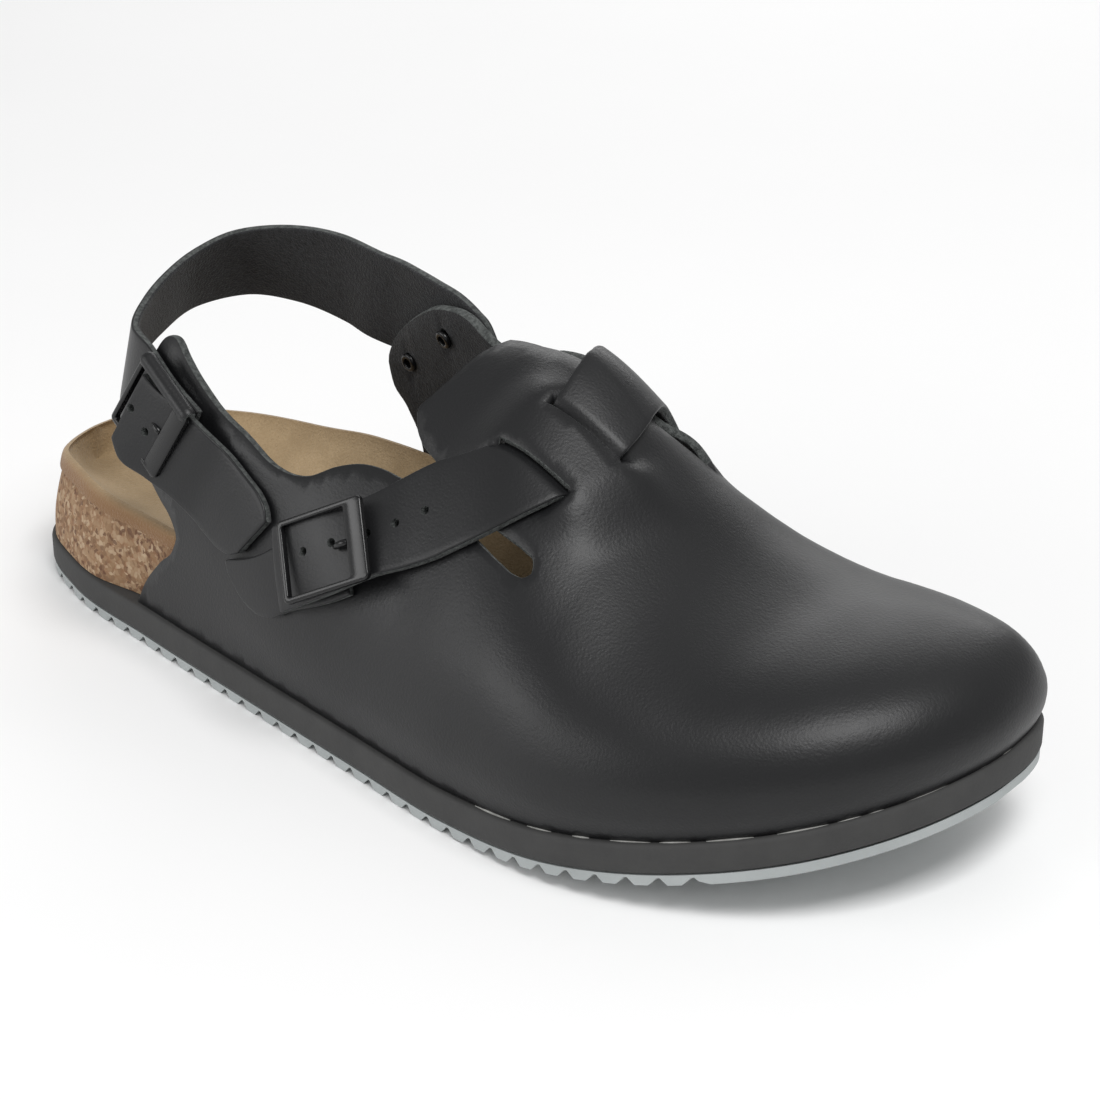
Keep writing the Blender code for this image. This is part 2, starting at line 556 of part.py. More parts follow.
def upper():
    """The leather shell: the pattern's points joined in the flattened view and put back on the last."""
    rims = pattern_rims()
    where, plan = fill_places(rims)
    points = np.vstack([plan, *(rim for rim, _, _ in rims)])
    shape = np.vstack([on_side(*where.T), *(rim_3d for _, rim_3d, _ in rims)])
    place = np.vstack([where, *(rim_at for _, _, rim_at in rims)])
    start = len(plan)
    edges = []
    for rim, _, _ in rims:
        edges += [(start + k, start + (k + 1) % len(rim)) for k in range(len(rim))]
        start += len(rim)
    made = delaunay_2d_cdt([Vector(p) for p in points], edges, [], 0, 1e-4)
    found = np.array([tuple(v) for v in made[0]])
    first = [ids[0] for ids in made[3]]
    shape, place = shape[first], place[first]
    faces = np.array(made[2])
    middle = found[faces].mean(1)
    kept = inside(middle, rims[0][0])
    for rim, _, _ in rims[1:]:
        kept &= ~inside(middle, rim)
    return sheet("upper", shape, faces[kept], place)


def sheet(name, shape, faces, place):
    """A shell from a surface: the outer wall, a second one a leather's thickness inside, and the rims between."""
    side = np.cross(shape[faces[:, 1]] - shape[faces[:, 0]], shape[faces[:, 2]] - shape[faces[:, 0]])
    if (side * (shape[faces].mean(1) - (150, 0, 30))).sum() < 0:
        faces, side = faces[:, ::-1], -side
    normal = np.zeros_like(shape)
    for k in range(3):
        np.add.at(normal, faces[:, k], side)
    normal /= np.maximum(np.linalg.norm(normal, axis=1), 1e-9)[:, None]
    shape = shape + normal * relief(place[:, 0], place[:, 1])[:, None]
    back = shape - normal * LEATHER
    count = len(shape)
    pairs = {(i, j) for a, b, c in faces.tolist() for i, j in ((a, b), (b, c), (c, a))}
    rim = [(i, j) for i, j in pairs if (j, i) not in pairs]
    walls = [(j, i, i + count, j + count) for i, j in rim]
    used = np.unique(faces)
    both = np.r_[used, used + count]
    new = np.full(2 * count, -1)
    new[both] = np.arange(len(both))
    whole = [*faces.tolist(), *(faces[:, ::-1] + count).tolist(), *walls]
    return solid(name, np.vstack([shape, back])[both], [new[list(f)] for f in whole], BLACK)


def ribbon(name, high, low, thick, stations, across, colour):
    """A strap between two edge rails, each row a point; the far side stands one thickness off."""
    run = lengths((high + low) / 2)
    at = np.linspace(0, run[-1], stations)
    data = curve(np.c_[run, high, low], at)
    a, b = data[:, None, :3], data[:, None, 3:]
    under = a + (b - a) * np.linspace(0, 1, across)[None, :, None]
    along = np.gradient(under, axis=0)
    out = np.cross(along, np.gradient(under, axis=1))
    out /= np.linalg.norm(out, axis=-1)[..., None]
    return slab(name, under, under + out * thick, colour)


def strap_on_last(name, rows, thick, stations, across, colour, woven=False):
    """A strap lying on the upper: rows hold both edges as (x, across) and the height they lie at."""
    rows = np.asarray(rows, float)
    high, low = rows[:, :2] * (LENGTH, 1), rows[:, 2:4] * (LENGTH, 1)
    run = lengths((on_side(*high.T) + on_side(*low.T)) / 2)
    data = curve(np.c_[run, high, low, rows[:, 4], rows[:, -1]], np.linspace(0, run[-1], stations))
    share = np.linspace(0, 1, across)
    x = data[:, 0, None] + (data[:, 2] - data[:, 0])[:, None] * share
    v = data[:, 1, None] + (data[:, 3] - data[:, 1])[:, None] * share
    height = data[:, 4, None] + (data[:, 5] - data[:, 4])[:, None] * share
    if woven:
        _, arch, beside, under = bridge(x, v)
        above = np.maximum(height, 1.15 * beside + OVER_SLIT)
        height = above + (arch - LEATHER - thick - UNDER_BRIDGE - above) * under
    out = normal_at(x, v)
    under_side = on_side(x, v) + out * height[..., None]
    return slab(name, under_side, under_side + out * thick, colour)


def heel_strap():
    """The strap behind the heel; its rails are the edges of the outer face."""
    high, low = [], []
    for rows, free in ((HEEL_OUTER, False), (HEEL_FREE, True), (HEEL_INNER, False)):
        rows = np.array(rows)
        if not free:
            for edge, sink in ((rows[:, :2], high), (rows[:, 2:4], low)):
                x, v = edge[:, 0] * LENGTH, edge[:, 1]
                height = rows[:, 4] + swell(x, v) * (v > 0)
                sink += [*(on_side(x, v) + normal_at(x, v) * height[:, None])]
        else:
            middle = rows[:, :3] * (LENGTH, BALL, INSTEP)
            along = np.gradient(middle, axis=0)
            along /= np.linalg.norm(along, axis=1)[:, None]
            out = np.cross(along, (0, 0, 1.0))
            out /= np.linalg.norm(out, axis=1)[:, None]
            out *= np.sign(((middle - (60, 0, 75)) * out).sum(1))[:, None]
            rise = np.cross(out, along)
            rise *= np.sign(rise[:, 2:3])
            lean = np.radians(rows[:, 3:4])
            width = rise * np.cos(lean) - out * np.sin(lean)
            half = width * rows[:, 4:5] * HEEL_WIDTH / 2
            high += [*(middle + half)]
            low += [*(middle - half)]
    return ribbon("heel_strap", np.array(high), np.array(low), -HEEL_STRAP, 44, 4, BLACK)


def frame_axes(corners):
    """Middle, axes and sizes of a buckle frame from its corners on the last."""
    x, v, height = np.array(corners).T * [[LENGTH], [1], [1]]
    c = on_side(x, v) + normal_at(x, v) * height[:, None]
    middle = c.mean(0)
    along = c[1] + c[2] - c[0] - c[3]
    width = np.linalg.norm(along) / 2
    along /= np.linalg.norm(along)
    across = c[0] + c[1] - c[2] - c[3]
    across -= along * (across @ along)
    height = np.linalg.norm(across) / 2
    across /= np.linalg.norm(across)
    return middle, along, across, np.cross(along, across), width, height


def rounded(left, right, foot, top, radius, count=4):
    """A rectangle with round corners."""
    turn = np.linspace(0, math.pi / 2, count)
    return np.array([
        (x + radius * math.cos(t + q), y + radius * math.sin(t + q))
        for x, y, q in (
            (right - radius, top - radius, 0), (left + radius, top - radius, math.pi / 2),
            (left + radius, foot + radius, math.pi), (right - radius, foot + radius, 1.5 * math.pi),
        )
        for t in turn
    ])


def buckle(name, corners):
    """A flat frame with one wide plate, its window open for the strap, and its prong."""
    middle, along, across, out, width, height = frame_axes(corners)
    middle = middle + out * FRAME_LIFT
    w, h = width / 2, height / 2
    outer = rounded(-w, w, -h, h, 1.2)
    soft = rounded(-w + 0.35, w - 0.35, -h + 0.35, h - 0.35, 0.9)
    window = rounded(-w + FRAME_BAR, w - FRAME_PLATE, -h + FRAME_BAR, h - FRAME_BAR, 0.5)
    loops = [(window, 0), (outer, 0), (outer, FRAME_THICK - 0.4), (soft, FRAME_THICK), (window, FRAME_THICK)]
    points = np.vstack([middle + along * loop[:, :1] + across * loop[:, 1:] + out * z for loop, z in loops])
    n = len(outer)
    faces = [
        (k * n + i, k * n + (i + 1) % n, (k + 1) % 5 * n + (i + 1) % n, (k + 1) % 5 * n + i)
        for k in range(5) for i in range(n)
    ]
    solid(name + "_frame", points, faces, METAL)
    turn = np.linspace(0, 2 * math.pi, 8, endpoint=False)
    rows = []
    start = w - FRAME_PLATE - GAP
    for reach, rise, radius in PRONG:
        centre = middle + along * (start + reach) + out * rise
        rows.append([centre + radius * (across * math.cos(t) + out * math.sin(t)) for t in turn])
    points = np.array(rows).reshape(-1, 3)
    faces = [
        (k * 8 + i, k * 8 + (i + 1) % 8, k * 8 + 8 + (i + 1) % 8, k * 8 + 8 + i)
        for k in range(len(PRONG) - 1) for i in range(8)
    ]
    faces += [tuple(range(8))[::-1], tuple(range(len(points) - 8, len(points)))]
    solid(name + "_prong", points, faces, METAL)


def rivet(name, spot):
    """A hollow rivet, its flange on the inner face of the tab and its shank in the hole."""
    x, v = spot[0] * LENGTH, spot[1]
    seat = on_side(x, v)
    out = normal_at(np.array([x]), np.array([v]))[0]
    side = np.cross(out, (0, 0, 1.0))
    side /= np.linalg.norm(side)
    rise = np.cross(out, side)
    turn = np.linspace(0, 2 * math.pi, 14, endpoint=False)
    points = [seat + out * z + r * (side * math.cos(t) + rise * math.sin(t)) for r, z in RIVET for t in turn]
    n, levels = len(turn), len(RIVET)
    faces = [
        (k * n + i, k * n + (i + 1) % n, (k + 1) % levels * n + (i + 1) % n, (k + 1) % levels * n + i)
        for k in range(levels) for i in range(n)
    ]
    solid(name, points, faces, METAL)


for old in list(bpy.data.objects):
    bpy.data.objects.remove(old)
outsole()
midsole()
cork_rim, cork_rows = footbed()
lining(cork_rim, cork_rows)
upper()
strap_on_last("buckle_patch", BUCKLE_PATCH, 2.0, 14, 4, BLACK)
strap_on_last("heel_strap_tongue", HEEL_TONGUE, STRAP, 22, 4, BLACK)
strap_on_last("instep_strap", INSTEP_STRAP, STRAP, 54, 6, BLACK, woven=True)
heel_strap()
buckle("instep_buckle", INSTEP_FRAME)
buckle("heel_buckle", HEEL_FRAME)
rivet("rivet_low", RIVET_LOW)
rivet("rivet_high", RIVET_HIGH)

bodies = [b for b in bpy.data.objects if b.type == "MESH"]
corners = np.array([v.co for b in bodies for v in b.data.vertices])
low, high = corners.min(0), corners.max(0)
shift = np.array([(low[0] + high[0]) / 2, (low[1] + high[1]) / 2, low[2]])
print("origin taken from", shift.round(3).tolist())
for b in bodies:
    for v in b.data.vertices:
        v.co = Vector((np.array(v.co) - shift) * 0.001)
    b.data.update()
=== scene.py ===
# %% [markdown]
# # A right chef clog in black leather
#
# The clog is a closed shoe without a back: a leather shell on a cork footbed, a rubber sole below, one strap
# woven through two slits over the instep and one strap behind the heel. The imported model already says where
# every part sits. This lesson dresses it: each part is built again from the same sizes with finer faces,
# rounded edges and real holes, and then gets its finish.

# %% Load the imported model
import math

import bmesh
import bpy
import numpy as np
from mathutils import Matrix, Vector
from mathutils.geometry import delaunay_2d_cdt


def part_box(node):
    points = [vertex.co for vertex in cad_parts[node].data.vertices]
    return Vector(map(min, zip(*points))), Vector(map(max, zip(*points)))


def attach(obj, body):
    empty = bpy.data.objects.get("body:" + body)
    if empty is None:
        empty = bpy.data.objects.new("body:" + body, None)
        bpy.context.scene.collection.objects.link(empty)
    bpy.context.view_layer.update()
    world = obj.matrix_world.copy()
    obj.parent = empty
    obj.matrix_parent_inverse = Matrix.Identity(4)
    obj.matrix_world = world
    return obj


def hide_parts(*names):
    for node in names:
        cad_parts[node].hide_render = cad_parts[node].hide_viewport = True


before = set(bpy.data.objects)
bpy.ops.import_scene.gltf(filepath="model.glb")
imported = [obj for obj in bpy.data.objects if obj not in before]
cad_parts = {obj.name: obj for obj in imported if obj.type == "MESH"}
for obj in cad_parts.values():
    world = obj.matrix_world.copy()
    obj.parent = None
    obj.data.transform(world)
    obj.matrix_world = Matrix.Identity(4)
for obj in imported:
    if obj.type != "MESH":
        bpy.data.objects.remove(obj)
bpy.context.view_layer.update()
print("the packed model has", len(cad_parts), "parts")

# %% [markdown]
# ## The last
#
# A shoe is made over a last, a solid foot form. Everything on this clog lies on it, so the last comes first:
# an outline seen from above, a ridge line with its height, and three cross-sections that are blended from
# heel to toe. All of it could be sculpted by hand, but short tables keep each piece in step with the others.

# %% Sizes and tables of the last, in millimetres
LENGTH, BALL, INSTEP = 280.0, 105.0, 91.0
SOLE, MIDSOLE = 2.9, 7.3
SPRING, SPRING_START = 20.0, 0.59 * LENGTH
GAP, LEATHER, INSET = 0.3, 2.2, 1.5
MEDIAL_STAND, MEDIAL_RISE = 0.14, 0.18
FAN_START, FAN_END = 200.0, 240.0
# how many millimetres a share across of 1 measures round the instep
GIRTH = 95.0
# where one cross-section gives way to the next, and where the inner quarter stands up
HEEL_TO_INSTEP, INSTEP_TO_TOE = (68, 118), (150, 230)
STAND_START, STAND_END = (60, 90), (106, 136)

# along the length, across the ball width
OUTLINE = [
    (0.003, 0.0), (0.027, -0.179), (0.093, -0.275), (0.215, -0.342), (0.356, -0.405),
    (0.499, -0.466), (0.624, -0.519), (0.733, -0.533), (0.840, -0.454), (0.929, -0.297),
    (0.982, -0.090), (0.9995, 0.133), (0.983, 0.318), (0.911, 0.427), (0.786, 0.462),
    (0.661, 0.436), (0.536, 0.358), (0.393, 0.308), (0.250, 0.330), (0.107, 0.314), (0.022, 0.189),
]
# along the length, ridge over the ball width, ridge height over the instep height
RIDGE = [
    (0.16, 0.019, 1.407), (0.214, 0.021, 1.407), (0.268, 0.025, 1.374), (0.321, 0.028, 1.242),
    (0.375, 0.036, 1.121), (0.429, 0.055, 1.044), (0.482, 0.082, 0.995), (0.536, 0.100, 1.0),
    (0.589, 0.096, 0.978), (0.643, 0.086, 0.874), (0.696, 0.081, 0.736), (0.75, 0.083, 0.626),
    (0.804, 0.089, 0.575), (0.857, 0.097, 0.575), (0.911, 0.104, 0.588), (0.964, 0.110, 0.593),
    (1.036, 0.114, 0.549),
]
# share of the way up, then out and up in the heel, instep and toe sections
PROFILE = [
    (0.00, 1.000, 0.00, 1.000, 0.00, 1.000, 0.00),
    (0.15, 0.975, 0.12, 1.014, 0.14, 1.033, 0.196),
    (0.30, 0.935, 0.25, 0.975, 0.29, 1.024, 0.408),
    (0.45, 0.870, 0.40, 0.886, 0.44, 0.948, 0.636),
    (0.60, 0.760, 0.57, 0.724, 0.614, 0.806, 0.806),
    (0.75, 0.570, 0.76, 0.498, 0.794, 0.572, 0.927),
    (0.88, 0.300, 0.92, 0.250, 0.934, 0.284, 0.984),
    (0.95, 0.130, 0.985, 0.110, 0.985, 0.120, 0.997),
    (1.00, 0.0, 1.0, 0.0, 1.0, 0.0, 1.0),
]


# %% Smooth curves through a table
def curve(rows, at):
    """Reads a table at the places given, on a smooth curve through its rows."""
    rows = np.asarray(rows, float)
    x, y = rows[:, 0], rows[:, 1:]
    slope = np.gradient(y, x, axis=0)
    at = np.clip(np.asarray(at, float), x[0], x[-1])
    i = np.clip(np.searchsorted(x, at, side="right") - 1, 0, len(x) - 2)
    h = (x[i + 1] - x[i])[..., None]
    u = (at - x[i])[..., None] / h
    return (
        (2 * u**3 - 3 * u**2 + 1) * y[i]
        + (u**3 - 2 * u**2 + u) * h * slope[i]
        + (3 * u**2 - 2 * u**3) * y[i + 1]
        + (u**3 - u**2) * h * slope[i + 1]
    )


def smooth(x, start, end):
    """Goes softly from 0 at start to 1 at end."""
    t = np.clip((np.asarray(x, float) - start) / (end - start), 0, 1)
    return t * t * (3 - 2 * t)


def unit(vectors):
    """The same directions with a length of one."""
    return vectors / np.linalg.norm(vectors, axis=-1, keepdims=True)


def lengths(points):
    """The length run at each point of a line."""
    return np.r_[0, np.cumsum(np.linalg.norm(np.diff(points, axis=0), axis=1))]


def outline(count, inset=0.0):
    """The sole seen from above, heel point first, drawn in by an inset."""
    rows = np.array(OUTLINE) * (LENGTH, BALL)
    rows = np.vstack([rows[-3:], rows, rows[:4]])
    run = lengths(rows)
    at = np.linspace(run[3], run[-4], count, endpoint=False)
    points = curve(np.c_[run, rows], at)
    along = np.roll(points, -1, 0) - np.roll(points, 1, 0)
    inward = unit(np.c_[-along[:, 1], along[:, 0]])
    return points + inward * np.asarray(inset, float).reshape(-1, 1)


def spring(x):
    """How far the toe lifts off the floor."""
    rise = np.clip((np.asarray(x, float) - SPRING_START) / (LENGTH - SPRING_START), 0, None)
    return SPRING * rise**1.8


def base(x):
    """The height of the midsole's top."""
    return spring(x) + SOLE + MIDSOLE


# %% The last's surface from a place along the foot edge and a share of the way up
EDGE = outline(1200, INSET)
EDGE = EDGE[np.argmax(EDGE[:, 0] > 45) : len(EDGE) - np.argmax(EDGE[::-1, 0] > 45)]
EDGE_RUN = lengths(EDGE)
TIP = int(np.argmax(EDGE[:, 0]))


def run_at(x, side):
    """The place along the foot edge for an x, on the outer (-1) or inner (1) side."""
    if side < 0:
        return np.interp(x, EDGE[: TIP + 1, 0], EDGE_RUN[: TIP + 1])
    return np.interp(x, EDGE[:TIP:-1, 0], EDGE_RUN[:TIP:-1])


def edge_and_ridge(run):
    """Seen from above: the foot edge at a place, and the ridge point that it goes up to."""
    edge = np.stack([np.interp(run, EDGE_RUN, EDGE[:, k]) for k in (0, 1)], -1)
    reach = FAN_END - FAN_START
    x = edge[..., 0]
    fanned = FAN_START + reach * (1 - np.exp(-(np.maximum(x, FAN_START) - FAN_START) / reach))
    x = np.where(x < FAN_START, x, fanned)
    ridge = curve(RIDGE, x / LENGTH)
    return edge, np.stack([x, ridge[..., 0] * BALL], -1)


def on_last(run, up):
    """A point of the last from a place along the foot edge and the share of the way up to the ridge."""
    edge, ridge = edge_and_ridge(run)
    shares = curve(PROFILE, up)
    heel = 1 - smooth(edge[..., 0], *HEEL_TO_INSTEP)
    toe = smooth(edge[..., 0], *INSTEP_TO_TOE)
    out, rise = (
        heel * shares[..., k] + (1 - heel - toe) * shares[..., k + 2] + toe * shares[..., k + 4]
        for k in (0, 1)
    )
    stand = smooth(edge[..., 0], *STAND_START) * (1 - smooth(edge[..., 0], *STAND_END))
    stand = stand * (run > EDGE_RUN[TIP])
    out = out + MEDIAL_STAND * stand * np.sin(math.pi * up)
    plan = ridge + (edge - ridge) * out[..., None]
    foot = base(edge[..., 0]) + GAP
    top = curve(RIDGE, plan[..., 0] / LENGTH)[..., 1] * INSTEP * (1 + MEDIAL_RISE * stand)
    return np.concatenate([plan, (foot + (top - foot) * rise)[..., None]], -1)


def on_side(x, across):
    """A point of the last from x and the share across: -1 outer foot, 0 ridge, 1 inner foot."""
    x, across = np.broadcast_arrays(np.asarray(x, float), np.asarray(across, float))
    run = np.where(across < 0, run_at(x, -1), run_at(x, 1))
    return on_last(run, 1 - np.abs(across))


def normal_at(x, across):
    """The direction straight off the last at a place."""
    dx = on_side(x + 0.5, across) - on_side(x - 0.5, across)
    dv = on_side(x, across + 0.01) - on_side(x, across - 0.01)
    return unit(np.cross(dx, dv))


def seat_at(x, across):
    """A single place on the last: its point, the direction off it and two directions along it."""
    x, across = np.array([float(x)]), np.array([across])
    seat, out = on_side(x, across)[0], normal_at(x, across)[0]
    side = unit(np.cross(out, (0, 0, 1.0)))
    return seat, out, side, np.cross(out, side)


ridge_line = on_last(EDGE_RUN, np.ones(len(EDGE_RUN)))
print("the last is", round(float(ridge_line[:, 2].max()), 1), "mm high")

# %% [markdown]
# ## From the last to the model
#
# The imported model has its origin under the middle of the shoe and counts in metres. The midsole's box gives
# the way from one to the other, so that no number has to be typed twice. A finish can be named before it is
# painted: the pieces take the empty materials now, and later cells fill them.

# %% Where the last stands in the model
midsole_low = np.array(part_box("midsole")[0])
plan_low = outline(76).min(0)
SHIFT = np.array([*(plan_low - midsole_low[:2] * 1000), 0.0])
FINISHES = {
    name: bpy.data.materials.new(name)
    for name in (
        "black_leather", "cut_edge", "leather_back", "cork", "suede", "sole_foam", "tread_rubber",
        "black_metal", "glue_highlight", "paper_floor",
    )
}
print("the last stands", SHIFT.round(3).tolist(), "mm from the model's origin")


# %% How a piece is made
def new_mesh(name, points, faces):
    """A mesh in the model's metres from points in the last's millimetres."""
    mesh = bpy.data.meshes.new(name)
    mesh.from_pydata(((np.asarray(points) - SHIFT) * 0.001).tolist(), [], [tuple(map(int, f)) for f in faces])
    return mesh


def new_object(name, data):
    """An object that shows the data and is linked into the scene."""
    body = bpy.data.objects.new(name, data)
    bpy.context.collection.objects.link(body)
    return body


def piece(
    name, points, faces, finishes, kinds=None,
    replaces=(), sharp=50.0, bevel=0.0, marks=None,
):
    """A mesh from points on the last, smooth up to the sharp angle, that stands for parts of the model."""
    mesh = new_mesh(name, points, faces)
    for finish in finishes:
        mesh.materials.append(FINISHES[finish])
    if kinds is not None:
        mesh.polygons.foreach_set("material_index", np.asarray(kinds, np.int32))
    for mark, values in (marks or {}).items():
        mesh.attributes.new(mark, "FLOAT", "POINT").data.foreach_set("value", np.asarray(values, np.float32))
    made = bmesh.new()
    made.from_mesh(mesh)
    bmesh.ops.recalc_face_normals(made, faces=made.faces)
    made.to_mesh(mesh)
    made.free()
    mesh.polygons.foreach_set("use_smooth", np.ones(len(mesh.polygons), bool))
    mesh.set_sharp_from_angle(angle=math.radians(sharp))
    body = new_object(name, mesh)
    if bevel:
        rounding = body.modifiers.new("rounded edges", "BEVEL")
        rounding.width = bevel * 0.001
        rounding.segments = 3
        rounding.limit_method = "ANGLE"
        rounding.angle_limit = math.radians(sharp)
    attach(body, "root")
    if replaces:
        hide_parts(*replaces)
    print(name, "has", len(mesh.polygons), "faces")
    return body


# %% Two ways to close a body: between two grids, and through outlines one above another
def cells(grid):
    """The faces of a grid of point numbers."""
    return np.stack([grid[:-1, :-1], grid[1:, :-1], grid[1:, 1:], grid[:-1, 1:]], -1).reshape(-1, 4)


def slab(low, high):
    """Points, faces and kinds of the solid between two grids: 0 the high side, 1 the rim, 2 the low side."""
    rows, columns = low.shape[:2]
    index = np.arange(rows * columns).reshape(rows, columns)
    count = rows * columns
    rim = np.r_[index[0, :-1], index[:-1, -1], index[-1, :0:-1], index[:0:-1, 0]]
    after = np.roll(rim, -1)
    under, over = cells(index), cells(index)[:, ::-1] + count
    wall = np.stack([rim, rim + count, after + count, after], -1)
    kinds = np.repeat([2, 0, 1], [len(under), len(over), len(wall)])
    return np.vstack([low.reshape(-1, 3), high.reshape(-1, 3)]), np.vstack([under, over, wall]), kinds


def loop_faces(levels, count, closed=False):
    """Faces between loops of points one above another; closed also joins the last loop to the first."""
    ring = np.arange(count)
    after = (ring + 1) % count
    faces = []
    for k in range(levels if closed else levels - 1):
        here, above = k * count, (k + 1) % levels * count
        faces += np.stack([here + ring, here + after, above + after, above + ring], -1).tolist()
    return faces


def across_rows(rows, flip):
    """Faces between rows of point numbers; the first and last row may shrink to one point."""
    faces = []
    for a, b in zip(rows[:-1], rows[1:]):
        if a[0] == a[-1]:
            made = [(a[0], b[k], b[k + 1]) for k in range(len(b) - 1)]
        elif b[0] == b[-1]:
            made = [(a[k], b[0], a[k + 1]) for k in range(len(a) - 1)]
        else:
            made = [(a[k], b[k], b[k + 1], a[k + 1]) for k in range(len(a) - 1)]
        faces += [f[::-1] for f in made] if flip else made
    return faces


def rings(levels, top=None, bottom=None):
    """A closed body through outlines, heel point first; top and bottom give the points of each row."""
    count = len(levels[0])
    half = count // 2
    points = [p for level in levels for p in level]
    faces = loop_faces(len(levels), count)
    for start, rows, flip in ((0, bottom, True), ((len(levels) - 1) * count, top, False)):
        numbers = [[start + i, start + (count - i) % count] for i in range(half + 1)]
        if rows is not None:
            for i in range(1, half):
                first = len(points)
                points += list(rows[i])
                numbers[i] = [numbers[i][0], *range(first, len(points)), numbers[i][1]]
        faces += across_rows(numbers, flip)
    return np.array(points), faces


# %% [markdown]
# ## The sole
#
# Three layers: a grey rubber tread with cross ribs, a charcoal foam midsole and the cork footbed. The tread
# is moulded, so its ribs are real steps in the mesh and not a pattern. Beyond the last rib, round the toe,
# the sheet is plain. The foam's edge is ground by hand, which leaves it a little round above and below.

# %% The rubber tread
LUG_FROM, LUG_TO, LUG_PITCH, LUG_DEPTH = 12.0, 236.0, 6.9, 1.9
# share of the pitch, share of the depth
LUG = [(0.0, 0.0), (0.21, 0.0), (0.42, 0.0), (0.54, 0.5), (0.66, 1.0), (0.76, 1.0), (0.88, 0.5)]
HEEL_BEVEL, HEEL_BEVEL_REACH = 2.0, 18.0
TREAD_INSET = 0.3
# stations behind the first rib, stations after the last one, points across the sheet
HEEL_STATIONS = [1.2, 2.4, 4.0, 6.5, 9.0]
PLAIN_STATIONS, TREAD_ACROSS = 48, 9


def tread():
    """The tread's sheet as rows of points across the sole, from the heel to the toe."""
    edge = outline(1200, TREAD_INSET)
    edge = np.roll(edge, -int(np.argmin(edge[:, 0])), 0)
    tip = int(np.argmax(edge[:, 0]))
    stations = [edge[0, 0] + 0.4, *HEEL_STATIONS]
    drop = [0.0] * len(stations)
    x = LUG_FROM
    while x < LUG_TO:
        stations += [x + share * LUG_PITCH for share, _ in LUG]
        drop += [depth * LUG_DEPTH for _, depth in LUG]
        x += LUG_PITCH
    last = edge[tip, 0] - 0.3
    plain = last - (last - x - 1.5) * (1 - np.linspace(0, 1, PLAIN_STATIONS)) ** 1.6
    stations, drop = np.r_[stations, plain], np.r_[drop, np.zeros(PLAIN_STATIONS)]
    outer = np.interp(stations, edge[: tip + 1, 0], edge[: tip + 1, 1])
    inner = np.interp(stations, edge[:tip:-1, 0], edge[:tip:-1, 1])
    y = outer[:, None] + (inner - outer)[:, None] * np.linspace(0, 1, TREAD_ACROSS)
    xs = np.repeat(stations[:, None], TREAD_ACROSS, 1)
    heel = HEEL_BEVEL * np.clip(1 - xs / HEEL_BEVEL_REACH, 0, 1) ** 2
    under = spring(xs) + heel + drop[:, None]
    return slab(np.stack([xs, y, under], -1), np.stack([xs, y, spring(xs) + SOLE - GAP], -1))


points, faces, _ = tread()
piece(
    "tread", points, faces, ["tread_rubber"],
    replaces=["outsole"], sharp=35, bevel=0.22,
)

# %% The foam midsole
# inset, height
FOAM_EDGE = [
    (0.9, 0.0), (0.5, 0.05), (0.15, 0.35), (0.0, 0.9), (0.0, 3.6),
    (0.0, 6.2), (0.15, 6.85), (0.5, 7.2), (1.0, MIDSOLE),
]
FOAM_COUNT = 360
plan_x = outline(FOAM_COUNT)[:, 0]
foam = [np.c_[outline(FOAM_COUNT, inset), spring(plan_x) + SOLE + height] for inset, height in FOAM_EDGE]
points, faces = rings(foam)
piece("foam_midsole", points, faces, ["sole_foam"], replaces=["midsole"], sharp=60)

# %% [markdown]
# ## The footbed
#
# The footbed is ground cork, cupped at the heel and raised under the arch. Its wall shows at the heel. A
# suede sheet covers it and is turned down over the rim. One table gives the rim's height and one the floor's,
# and the suede uses both again, so that it follows the cork at a fixed distance.

# %% Rim and floor of the cork
# along the length, rim height outside and inside of the foot, how far the rim leans in
RIM = [
    (0.00, 31.0, 31.0, 5.2), (0.07, 32.5, 32.0, 5.2), (0.14, 31.5, 33.5, 5.2), (0.21, 31.5, 36.0, 5.4),
    (0.30, 31.5, 40.0, 5.8), (0.38, 29.0, 41.0, 6.2), (0.46, 26.0, 36.0, 6.0), (0.55, 22.5, 29.0, 5.4),
    (0.66, 20.5, 22.0, 5.0), (0.78, 23.5, 24.0, 5.0), (0.89, 30.5, 30.5, 5.0), (1.00, 38.0, 38.0, 5.0),
]
# along the length, floor height, power of the bowl
FLOOR = [
    (0.00, 21.5, 2.4), (0.14, 20.0, 2.6), (0.30, 22.5, 2.6), (0.42, 22.5, 2.6), (0.55, 19.5, 3.0),
    (0.66, 17.6, 3.0), (0.78, 20.0, 3.0), (0.89, 26.5, 3.0), (1.00, 34.5, 3.0),
]
# share of the way up, share of the way in
WALL = [(0.0, 0.0), (0.35, 0.15), (0.7, 0.55), (1.0, 1.0)]
FOOT_INSET, FOOT_UNDER = 1.0, 4.3
BED_COUNT, BED_ACROSS = 260, 41
SUEDE, SUEDE_LIFT = 1.2, 0.48

bed_plan = outline(BED_COUNT)
bed_x = bed_plan[:, 0]
rim_rows = curve(RIM, bed_x / LENGTH)
rim_height = np.where(bed_plan[:, 1] > 0, rim_rows[:, 1], rim_rows[:, 0])
foot_inset = FOOT_INSET + (FOOT_UNDER - FOOT_INSET) * smooth(bed_x, 34, 56)
rim_inset = rim_rows[:, 2]


def wall_at(height):
    """The wall's inset at a height above the midsole, for each outline point."""
    start = base(bed_x) + GAP
    share = np.clip((height - start) / (rim_height - start), 0, 1)
    return foot_inset + (rim_inset - foot_inset) * curve(WALL, share)[:, 0]


